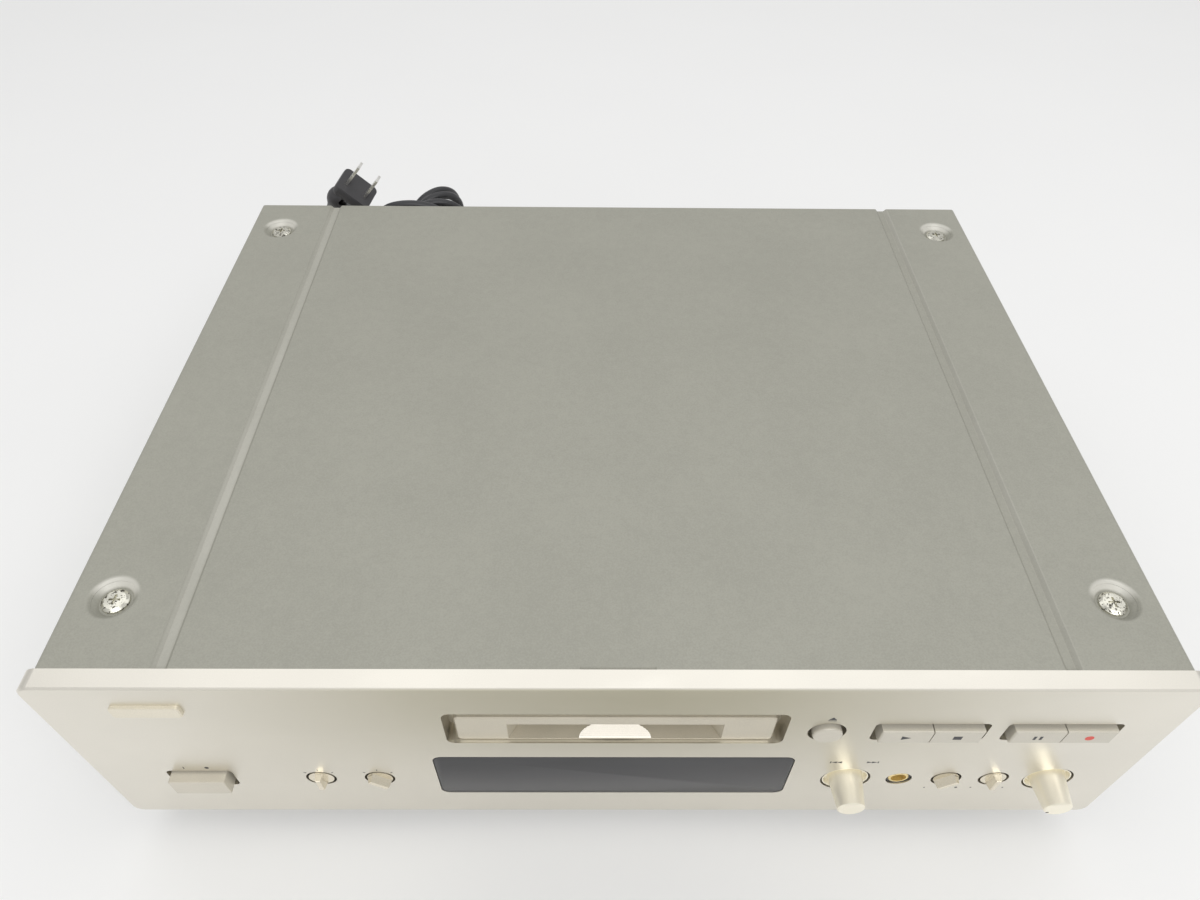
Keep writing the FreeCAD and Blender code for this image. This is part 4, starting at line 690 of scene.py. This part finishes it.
@dataclass
class BuiltParts:
    """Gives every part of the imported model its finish."""

    nodes: dict[str, Object]
    FINISHES: ClassVar[dict[Tone, str]] = {
        Tone.PANEL: "front_panel",
        Tone.PLATE: "nameplate",
        Tone.KNOB: "track_knob record_level_knob",
        Tone.POWER: "power_button",
        Tone.KEY: "eject_button play_button stop_button pause_button record_button",
        Tone.SMALL_KNOB: "timer_knob input_knob phones_level_knob balance_knob",
        Tone.ESCUTCHEON: "slot_escutcheon",
        Tone.SHUTTER: "slot_shutter",
        Tone.COVER: "top_cover",
        Tone.SMOKED: "display_window",
        Tone.TUBE: "display_tube",
        Tone.ZINC: "base_chassis rear_panel drive_bracket drive_chassis disc_holder load_slider "
                   "transformer spindle_motor load_motor feed_motor",
        Tone.SCREW: "cover_screws",
        Tone.STEEL: "guide_rods feed_screw track_shaft record_level_shaft turntable heat_sink",
        Tone.BRASS: "jack_bushing",
        Tone.GILT: "rca_jacks",
        Tone.BLADE: "plug_blades",
        Tone.BLACK: "headphone_jack front_frame switches optical_sockets head_arm optical_pickup "
                    "rotary_controls strain_relief cord_tie",
        Tone.FOOT: "feet",
        Tone.FELT: "foot_pads",
        Tone.RUBBER: "drive_dampers",
        Tone.NYLON: "load_gear",
        Tone.MASK: "front_board main_board power_board",
        Tone.PARTS: "board_parts",
        Tone.COPPER: "transformer_coil",
        Tone.VINYL: "power_cord cord_hank",
        Tone.PLUG: "plug_body",
    }

    def dress(self) -> None:
        """Give each node its finish, and stop if one is left out."""
        left = set(self.nodes)
        for tone, names in self.FINISHES.items():
            for name in names.split():
                materials = self.nodes[name].data.materials
                materials.clear()
                materials.append(tone.material())
                left.discard(name)
                LOG.info("part %s has %s", name, tone.value.name)
        if left:
            raise ValueError(f"no finish for {sorted(left)}")


# ---- fittings and printed marks

@dataclass
class Marks:
    """Symbols printed on the keys, and symbols and scale points printed beside the controls."""

    root: float = -0.1
    ink: float = 0.04
    key_level: float = 96.25
    key_reach: float = 2.5
    eject: Flat = (81.9, 107.1)
    skip_level: float = 67.7
    skips: Flat = (91.2, 106.7)
    switch_level: float = 51.2
    switches: Flat = (-124.3, -99.5)
    switch_scale: Flat = (7.4, 8.7)
    low_level: float = 41.5
    # each scale: its two points' places across and their radii
    scales: tuple[Four, ...] = ((135.3, 149.2, 0.38, 0.62), (155.6, 169.6, 0.38, 0.38))
    power: Flat = (-174.15, 61.6)
    pointer: Flat = (182.0, 47.8)
    pointer_lift: float = 13.0

    def mark(self, name: str, middle: Flat, outlines: Sequence[Path], body: str = "root",
             lift: float = 0.0, tone: Tone = Tone.DARK_PRINT) -> None:
        """Print outlines on a face that looks to the front.

        Args:
            name: The piece's name.
            middle: The mark's middle, across and up.
            outlines: Closed outlines about the middle, seen from the front.
            body: The body that carries the face.
            lift: How far the face stands out from the panel's face.
            tone: The ink.
        """
        place = outward((middle[0], PANEL_FACE - lift, middle[1]), (0, -1, 0))
        blank = Blank()
        for outline in outlines:
            blank.prism(outline, self.root, self.ink, place)
        blank.finish(name, tone, body=body)

    @staticmethod
    def skip(hand: int) -> list[list[Flat]]:
        """Two arrow heads and a bar that point to one hand."""
        shapes = [[(at - 1.05, -0.75), (at + 1.05, 0.0), (at - 1.05, 0.75)] for at in (-1.5, 0.6)]
        shapes.append(block(1.85, 2.35, -0.75, 0.75))
        return shapes if hand > 0 else [[(-x, y) for x, y in shape[::-1]] for shape in shapes]

    @staticmethod
    def tick(angle: float, near: float, far: float, half: float = 0.17) -> list[Flat]:
        """A short line on a knob's scale, at an angle from the top."""
        turn = math.radians(angle)
        along, aside = (math.sin(turn), math.cos(turn)), (math.cos(turn), -math.sin(turn))
        return [(along[0] * r + aside[0] * s, along[1] * r + aside[1] * s)
                for r, s in ((near, -half), (near, half), (far, half), (far, -half))]

    def keys(self) -> None:
        """Print the four keys' symbols, and the eject symbol on the panel."""
        bars = [block(-1.75, -0.65, -1.4, 1.4), block(0.65, 1.75, -1.4, 1.4)]
        for name, side, outlines, tone in (
                ("play", 111.85, [[(-1.7, -1.5), (2.0, 0.0), (-1.7, 1.5)]], Tone.DARK_PRINT),
                ("stop", 131.95, [block(-1.7, 1.7, -1.35, 1.35)], Tone.DARK_PRINT),
                ("pause", 163.15, bars, Tone.DARK_PRINT),
                ("record", 183.25, [disc(1.75)], Tone.RED_PRINT)):
            self.mark(f"{name}_mark", (side, self.key_level), outlines, f"{name}_button",
                      self.key_reach, tone)
        self.mark("eject_mark", self.eject,
                  [[(-1.6, -0.6), (1.6, -0.6), (0, 1.4)], block(-1.6, 1.6, -1.5, -1.1)])

    def build(self) -> None:
        """Print the keys' symbols, then what stands beside the knobs, and the level knob's pointer."""
        self.keys()
        for name, side, hand in zip(("skip_back", "skip_ahead"), self.skips, (-1, 1)):
            self.mark(name, (side, self.skip_level), self.skip(hand))
        for k, side in enumerate(self.switches):
            ticks = [self.tick(angle, *self.switch_scale) for angle in (-45, 0, 45)]
            self.mark(f"switch_scale_{k}", (side, self.switch_level), ticks)
        for k, (low, high, small, large) in enumerate(self.scales):
            points = [disc(small, 16, (low - high, 0)), disc(large, 16)]
            self.mark(f"level_scale_{k}", (high, self.low_level), points)
        self.mark("power_mark", self.power, [block(-5.2, -4.8, -0.9, 0.9), disc(0.9, 20, (4.6, 0))])
        self.mark("pointer_mark", self.pointer, [rounded(1.3, 0.9, 0.4)], "record_level_knob",
                  self.pointer_lift)


@dataclass
class FingerGrip:
    """Ribbed finger grip on the floor of the disc slot, at its lip, in a pale lacquer that is a painted
    highlight.
    """

    side: float = -0.4
    lip: float = PANEL_FACE + 1.65
    floor: float = 87.0
    root: float = -0.1
    width: float = 28.6
    length: float = 7.2
    pitch: float = 0.8
    rib: Path = ((0.0, 0.06), (0.78, 0.5))
    blunt: float = 0.02
    count: int = 24

    def build(self) -> None:
        """Lay rows of points across the grip, each row as wide as the half ellipse is there."""
        blank = Blank()
        rows, count = [], self.count
        for step in range(int(self.length / self.pitch)):
            for part, level in self.rib:
                y = (step + part) * self.pitch
                half = self.width / 2 * math.sqrt(max(self.blunt, 1 - (y / self.length) ** 2))
                sides = [half * math.sin(math.pi / 2 * (2 * k / count - 1)) for k in range(count + 1)]
                row = [(x, level) for x in sides] + [(x, self.root) for x in reversed(sides)]
                rows.append([blank.mesh.verts.new((self.side + x, self.lip + y, self.floor + z))
                             for x, z in row])
        blank.join(rows)
        # the grip's pale lacquer is a painted highlight for the light its scoop catches
        blank.finish("slot_grip", Tone.GRIP_HIGHLIGHT, 12)


@dataclass
class LensFace:
    """Front layer of the display window, set low in its opening so that a dark gap shows above it."""

    side: float = -0.4
    low: float = 35.6
    high: float = 71.75
    width: float = 148.5
    corner: float = 3.7
    edge: Path = ((0, -0.88), (0, -0.34), (0.14, -0.2), (0.42, -0.12))

    def build(self) -> None:
        """A plate with a softened front edge."""
        place = outward((self.side, PANEL_FACE, (self.low + self.high) / 2), (0, -1, 0))
        blank = Blank()
        blank.loft([(rounded(self.width - cut, self.high - self.low - cut, self.corner - cut / 2), level)
                    for cut, level in self.edge], place)
        blank.finish("lens_face", Tone.SMOKED)


@dataclass
class JackLining:
    """Thin gilt sleeve and contact ring inside the headphone socket."""

    middle: Flat = (121.7, 50.8)
    outer: float = 3.24
    inner: float = 3.19
    hole: float = 2.0
    front: float = -0.45
    back: float = -9.0
    floor: float = -8.7

    def build(self) -> None:
        """A sleeve that is open at the front and nearly closed behind."""
        blank = Blank()
        blank.collar([(self.outer, self.front), (self.outer, self.back), (self.hole, self.back),
                      (self.hole, self.floor), (self.inner, self.floor), (self.inner, self.front)],
                     outward((self.middle[0], PANEL_FACE, self.middle[1]), (0, -1, 0)))
        blank.finish("jack_sleeve", Tone.LINING, 40)


@dataclass
class Fasteners:
    """Pan-head screws in the rear panel, the base and the feet, each with a cross recess drawn as a dark
    cross of painted shade.
    """

    rear: Path = ((-203, 24), (-78, 24), (48, 24), (203, 24), (-120, 121), (0, 121), (120, 121))
    base: Path = ((-120, -60), (120, -60), (-120, 60), (120, 60), (0, -20))
    feet: Path = ((-165, -103.15), (165, -103.15), (-165, 114.35), (165, 114.35))
    base_level: float = 16.0
    foot_level: float = 11.0
    head: float = 2.9
    height: float = 1.9
    slot: Flat = (1.5, 0.3)
    sunk: float = 0.8
    slack: float = 0.01
    turn: float = 0.3

    def screw(self, heads: Blank, recess_shades: Blank, place: Matrix) -> None:
        """Add one head and the dark cross of painted shade that stands for its recess, standing on a place.
        """
        head, top, (long, wide) = self.head, self.height, self.slot
        profile = ((1.0, top), (head * 0.55, top - 0.1), (head * 0.85, top - 0.55), (head, top - 1.2),
                   (head, -0.3))
        heads.loft([(disc(radius, 24), level) for radius, level in profile], place)
        for turn in (0, math.pi / 2):
            # painted shade: a dark cross on the head stands for the recess, which is not cut
            recess_shades.prism(block(-long, long, -wide, wide), top - self.sunk, top + self.slack,
                           place @ Matrix.Rotation(turn + self.turn, 4, "Z"))

    def build(self) -> None:
        """Set every screw, with the heads in one piece and the painted shade of their cross recess in
        another.
        """
        heads, recess_shades = Blank(), Blank()
        places = [outward((x, REAR_FACE, z), (0, 1, 0)) for x, z in self.rear]
        for spots, level in ((self.base, self.base_level), (self.feet, self.foot_level)):
            places += [outward((x, y, level), (0, 0, -1), (0, 1, 0)) for x, y in spots]
        for place in places:
            self.screw(heads, recess_shades, place)
        heads.finish("panel_screws", Tone.SCREW, 30)
        recess_shades.finish("screw_recess_shades", Tone.RECESS_SHADE, 30)


@dataclass
class RearSockets:
    """Coloured collars round the analogue sockets and ribs on the lead's boot."""

    middle: Flat = (122.0, 50.0)
    pitch: Flat = (26.0, 18.0)
    collar: Path = ((4.25, -0.2), (4.25, 1.0), (4.5, 1.3), (5.5, 1.3), (6.0, 0.9), (6.0, -0.2))
    boot: Point = (-168.0, REAR_FACE, 58.0)
    boot_ends: Flat = (5.0, 27.0)
    boot_radii: Flat = (6.0, 3.5)
    rib: Path = ((-0.3, -0.8), (0.45, -0.5), (0.45, 0.4), (-0.3, 0.7))
    rib_start: float = 7.0
    rib_pitch: float = 3.2
    ribs: int = 6

    def build(self) -> None:
        """White collars in the upper row, red in the lower one, and the boot's ribs."""
        for name, tone, half in (("upper", Tone.WHITE_RING, 0.5), ("lower", Tone.RED_RING, -0.5)):
            blank = Blank()
            for hand in (-0.5, 0.5):
                at = (self.middle[0] + hand * self.pitch[0], REAR_FACE, self.middle[1] + half * self.pitch[1])
                blank.collar(self.collar, outward(at, (0, 1, 0)))
            blank.finish(f"{name}_collars", tone, 30)
        (start, end), (thick, thin) = self.boot_ends, self.boot_radii
        blank = Blank()
        for k in range(self.ribs):
            at = self.rib_start + k * self.rib_pitch
            wide = thick - (thick - thin) * (at - start) / (end - start)
            profile = [(wide + rise, at + shift) for rise, shift in self.rib]
            blank.collar(profile, outward(self.boot, (0, 1, 0)), 32)
        blank.finish("boot_ribs", Tone.PLUG, 30)


# ---- mains cord

@dataclass
class MainsCord:
    """The mains lead: out of its boot, through the tied hank and on to the plug.

    The hank leans on the cover's rear edge, in a frame of its own with the origin at its foot. Each turn
    goes up through the tie, round a fold, down through the tie and, but for the last, round a low fold
    to the next turn's row.
    """

    width: float = 5.0
    length: float = 1438.0
    foot: Point = (-115.5, 213.0, 2.4)
    lean: float = 17.0
    strand: float = 2.75
    bend: float = 17.0
    crown: float = 42.0
    tie_top: float = 64.0
    tie_low: float = 57.5
    low_rise: float = 36.5
    twist_rise: float = 34.0
    # each turn: its row, how far its top leans aside, its spread, its rise and its twist
    turns: tuple[tuple[float, ...], ...] = (
        (-8.25, -7.6, 5.0, 53.5, 0.0), (-2.75, 5.5, 0.0, 46.6, 9.0),
        (2.75, 4.6, 0.0, 38.0, 32.0), (8.25, 3.0, 0.0, 34.5, 37.0))
    lead: Course = ((-168, 188.35, 58), (-168, 209, 56.5), (-167, 234, 46), (-159, 255, 27), (-141, 266, 10),
                    (-122, 262, 3.3), (-110, 247, 5.5), (-107.5, 230, 13))
    tail: Course = ((-154, 211, 46), (-160.5, 206.5, 61.5), (-171, 199.5, 69), (-180.5, 193, 73),
                    (-188.5, 187, 83), (-190, 183.6, 96), (-185.75, 181.6, 107.1), (-177.95, 180.4, 116.25))
    into_hank: Course = ((8.0, 12.0, 11.0), (6.6, 2.5, 20.0), (4.4, -5.0, 30.0), (2.8, -8.25, 44.0))
    out_of_hank: Course = (
        (-2.8, 8.25, 51.0), (-4.6, 8.2, 41.0), (-10.5, 8.7, 32.5), (-19.5, 9.2, 29.5), (-30.0, 9.0, 33.0))

    def placed(self, point: Point) -> Point:
        """A point of the hank's own frame in the deck's."""
        x, y, z = point
        lean = math.radians(self.lean)
        return (self.foot[0] + x, self.foot[1] + y * math.cos(lean) - z * math.sin(lean),
                self.foot[2] + y * math.sin(lean) + z * math.cos(lean))

    @staticmethod
    def sweep(middle: Flat, radius: float, start: float, end: float, count: int) -> list[Flat]:
        """Control points of a round bend.

        Args:
            middle: The bend's centre.
            radius: The bend's radius.
            start: The angle where it starts, in degrees.
            end: The angle where it ends.
            count: How many points it has.

        Returns:
            The points, a little outside the bend.
        """
        step = math.radians(end - start) / count
        reach = radius / math.cos(step / 2)
        angles = [math.radians(start) + (k + 0.5) * step for k in range(count)]
        return [(middle[0] + reach * math.cos(a), middle[1] + reach * math.sin(a)) for a in angles]

    def fold(self, aside: float, spread: float, rise: float) -> list[Flat]:
        """The way up, over and down of one loop above the tie.

        Args:
            aside: How far the loop's middle stands aside.
            spread: Half the flat part of its top.
            rise: The level of its bends above the tie.

        Returns:
            Control points from the right strand round to the left one.
        """
        flare = []
        for offset in (aside + spread, spread - aside):
            gap = self.strand - offset
            flare.append((gap ** 2 + rise ** 2 - self.bend ** 2) / (2 * (self.bend - gap)))
        right, left = self.strand + flare[0], -self.strand - flare[1]
        turn_right = math.degrees(math.atan2(rise, aside + spread - right))
        turn_left = math.degrees(math.atan2(rise, aside - spread - left))
        drop = math.sqrt((self.crown - self.bend) ** 2 - spread ** 2) if spread else 0.0
        split = math.degrees(math.atan2(drop, spread)) if spread else 90.0
        path = self.sweep((right, 0), flare[0], 180, turn_right, 2)
        path += self.sweep((aside + spread, rise), self.bend, turn_right - 180, split, 4)
        if spread:
            path += self.sweep((aside, rise - drop), self.crown, split, 180 - split, 1)
        path += self.sweep((aside - spread, rise), self.bend, 180 - split, turn_left + 180, 4)
        return path + self.sweep((left, 0), flare[1], turn_left, 0, 2)

    def loop(self, row: float, aside: float, spread: float, rise: float, twist: float) -> list[Point]:
        """One turn's loop, twisted about its left side above the tie."""
        pivot = aside - spread - self.bend
        path = []
        for x, level in self.fold(aside, spread, rise):
            share = min(max(level / self.twist_rise, 0.0), 1.0)
            turn = math.radians(twist) * share * share * (3 - 2 * share)
            path.append((pivot + (x - pivot) * math.cos(turn), row + (x - pivot) * math.sin(turn),
                         self.tie_top + level))
        return path

    def hank(self) -> list[Point]:
        """Control points of every turn, in the hank's own frame."""
        path: list[Point] = []
        for turn, following in zip(self.turns, (*self.turns[1:], None)):
            row = turn[0]
            path += [(self.strand, row, self.tie_low), (self.strand, row, self.tie_top)]
            path += self.loop(*turn)
            path += [(-self.strand, row, self.tie_top), (-self.strand, row, self.tie_low)]
            if following is None:
                break
            low = self.fold(0.0, 0.0, self.low_rise)[::-1]
            for k, (x, level) in enumerate(low):
                share = min(max((k - 1) / (len(low) - 3), 0.0), 1.0)
                path.append((x, row + (following[0] - row) * share, self.tie_low - level))
        return path

    def route(self) -> list[Point]:
        """Control points of the whole lead in the deck's frame."""
        hank = [self.placed(point) for point in (*self.into_hank, *self.hank(), *self.out_of_hank)]
        return [*self.lead, *hank, *self.tail]

    def build(self, pieces: Sequence[Object]) -> None:
        """Args:
            pieces: The plug, the boot and the tie that sit on the lead; not used.
        """
        route = self.route()
        curve = bpy.data.curves.new("mains_lead", "CURVE")
        curve.dimensions, curve.use_fill_caps = "3D", True
        curve.bevel_depth, curve.bevel_resolution = self.width / 2 * MM, 5
        curve.resolution_u = 8
        line = curve.splines.new("NURBS")
        line.points.add(len(route) - 1)
        for point, (x, y, z) in zip(line.points, route):
            point.co = (x * MM, y * MM, z * MM, 1.0)
        line.order_u, line.use_endpoint_u = 3, True
        piece = settle(show("mains_lead", curve), Tone.VINYL)
        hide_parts("power_cord", "cord_hank")
        start = tuple(part * MM for part in route[0])


@dataclass
class PlugEnd:
    """Moulded plug: a body with rounded edges, a ball-shaped root for the lead and two blades."""

    at: Point = (-157.74, 179.49, 131.95)
    across: Point = (0.753, -0.084, -0.652)
    ahead: Point = (0.635, -0.174, 0.753)
    width: float = 23.0
    wall: float = 20.6
    lift: float = 0.7
    corner: float = 3.2
    least_corner: float = 0.8
    # how much narrower the body is at each level behind its face
    taper: Path = ((14, -16.2), (10.5, -15.4), (8.5, -13.4), (6.5, -11), (4, -8.8), (1.6, -7.2),
                   (0.4, -6.2), (0, -5), (0, -1.2), (0.25, -0.5), (0.9, 0))
    lead_end: Point = (-177.95, 180.4, 116.25)
    ball: Point = (-170.7, 178.6, 125.8)
    root: Point = (-4.0, -3.6, -9.6)
    # the root's radius at each share of its way from the lead to the body
    swell: Path = ((0, 2.9), (0.1, 3.3), (0.18, 4.0), (0.25, 5.0), (0.32, 5.9), (0.4, 6.5),
                   (0.5, 6.8), (0.6, 6.8), (0.7, 6.6), (0.78, 6.4), (0.87, 6.3), (1.0, 6.4))
    blade_side: float = 6.35
    blade: Point = (1.5, 6.3, 16.6)
    blade_root: float = -1.5
    hole_back: float = 4.2
    hole_front: float = 4.0
    shank_end: float = 3.6
    hole: float = 1.6
    slack: float = 0.01

    def place(self) -> Matrix:
        """From the plug's own millimetres, with Z along the blades, to the deck's."""
        return outward(self.at, self.ahead, Vector(self.ahead).cross(Vector(self.across)))

    def body(self) -> Object:
        """The moulded body with the ball-shaped root swept on to it."""
        blank = Blank()
        blank.loft([(rounded(self.width - cut, self.wall - cut, max(self.corner - cut / 4, self.least_corner),
                             (0, self.lift)), level) for cut, level in self.taper], self.place())
        start, end = Vector(self.lead_end), self.place() @ Vector(self.root)
        bend = Vector(self.ball) * 2 - (start + end) / 2
        middles = [start * (1 - t) ** 2 + bend * (2 * t * (1 - t)) + end * t ** 2 for t, _ in self.swell]
        rings = []
        for k, (_, radius) in enumerate(self.swell):
            course = middles[min(k + 1, len(middles) - 1)] - middles[max(k - 1, 0)]
            rings.append(blank.ring(disc(radius, 28), 0, outward(middles[k], course, (0.2, 1, 0.1))))
        blank.join(rings)
        piece = blank.finish("plug_moulding", Tone.PLUG, 50)
        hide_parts("plug_body")
        return piece

    def blades(self) -> Object:
        """Two flat blades, each with a round hole near its tip."""
        blank = Blank()
        thick, wide, long = self.blade
        side, half, hole_at = thick / 2, wide / 2, long - self.hole_back
        aside = Matrix(((0, 0, 1, 0), (1, 0, 0, 0), (0, 1, 0, 0), (0, 0, 0, 1)))
        for hand in (-1, 1):
            place = self.place() @ Matrix.Translation((hand * self.blade_side, 0, 0)) @ aside
            shank = block(-half, half, self.blade_root, hole_at - self.shank_end)
            blank.prism(shank, -side + self.slack, side - self.slack, place)
            frame = []
            for x, y in disc(1.0, 40):
                tall = self.hole_back if y > 0 else self.hole_front
                reach = min(half / max(abs(x), 1e-6), tall / max(abs(y), 1e-6))
                frame.append((x * reach, hole_at + y * reach))
            hole = disc(self.hole, 40, (0, hole_at))
            blank.loft(((frame, -side), (frame, side), (hole, side), (hole, -side)), place, True)
        piece = blank.finish("plug_pins", Tone.BLADE, 30)
        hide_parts("plug_blades")
        return piece


# ---- studio

@dataclass(frozen=True)
class Lamp:
    """A soft lamp, in metres and watts."""

    name: str
    place: Point
    aim: Point
    size: Flat
    power: float

    def build(self) -> None:
        """Hang the lamp and turn it to what it lights."""
        light = bpy.data.lights.new(self.name, "AREA")
        light.shape, light.energy = "RECTANGLE", self.power
        light.size, light.size_y = self.size
        holder = show(self.name, light)
        holder.location = self.place
        toward = Vector(self.aim) - Vector(self.place)
        holder.rotation_euler = toward.to_track_quat("-Z", "Y").to_euler()


@dataclass
class Studio:
    """Pale floor, two lamps, an even surround and the camera."""

    lens: float = 25.61
    eye: Point = (-9.83, -304.915, 412.638)
    right: Point = (0.99995199, -0.00304196, 0.00931441)
    down: Point = (0.00412178, -0.73181296, -0.68149565)
    ahead: Point = (0.00888949, 0.68150132, -0.73176523)
    floor_half: float = 6.0
    floor_dark: tuple[float, ...] = (0.891, 0.891, 0.88605, 1.0)
    floor_pale: tuple[float, ...] = (0.909, 0.909, 0.90395, 1.0)
    lamps: tuple[Lamp, ...] = (
        Lamp("key", (0.25, -1.35, 1.75), (0.05, -0.1, 0.1), (2.6, 0.8), 21),
        Lamp("bank", (0.1, 0.85, 1.95), (0.1, -0.15, 0.13), (3.4, 1.1), 9.3))
    surround: float = 0.62

    def floor(self) -> None:
        """A wide floor that shows near white and keeps the deck's shadow."""
        mesh = bmesh.new()
        bmesh.ops.create_grid(mesh, x_segments=4, y_segments=4, size=self.floor_half)
        data = bpy.data.meshes.new("studio_floor")
        mesh.to_mesh(data)
        mesh.free()
        floor = show("studio_floor", data)
        bench = Bench("studio_paper")
        bench.dress(Base_Color=bench.mix(bench.cloud(140), self.floor_dark, self.floor_pale),
                    Roughness=0.9, Specular_IOR_Level=0.1)
        data.materials.append(bench.material)

    def world(self) -> None:
        """The same soft light from all sides."""
        world = bpy.data.worlds.new("surround")
        world.use_nodes = True
        background = world.node_tree.nodes["Background"]
        background.inputs["Color"].default_value = (1, 1, 1, 1)
        background.inputs["Strength"].default_value = self.surround
        bpy.context.scene.world = world

    def camera(self) -> None:
        """The camera at the viewing angle."""
        data = bpy.data.cameras.new("camera")
        data.lens, data.sensor_width = self.lens, 36.0
        data.clip_start, data.clip_end = 0.01, 50.0
        camera = show("camera", data)
        across, up = Vector(self.right), -Vector(self.down)
        turn = Matrix((across, up, -Vector(self.ahead))).transposed().to_4x4()
        camera.matrix_world = Matrix.Translation(Vector(self.eye) * MM) @ turn
        bpy.context.scene.camera = camera

    def build(self) -> None:
        """Set up the floor, lamps, camera and view."""
        self.floor()
        for lamp in self.lamps:
            lamp.build()
        self.world()
        self.camera()
        bpy.context.scene.view_settings.view_transform = "Standard"


def main() -> None:
    """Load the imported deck, dress it, add its pieces and light it."""
    logging.basicConfig(level=logging.INFO, format="%(message)s")
    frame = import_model()
    nodes = frame["nodes"]
    BuiltParts(nodes).dress()
    for fitting in (Marks, FingerGrip, LensFace, JackLining, Fasteners, RearSockets):
        fitting().build()
    plug = PlugEnd()
    MainsCord().build([plug.body(), plug.blades(), nodes["strain_relief"], nodes["cord_tie"]])
    Studio().build()


if __name__ == "__main__":
    main()
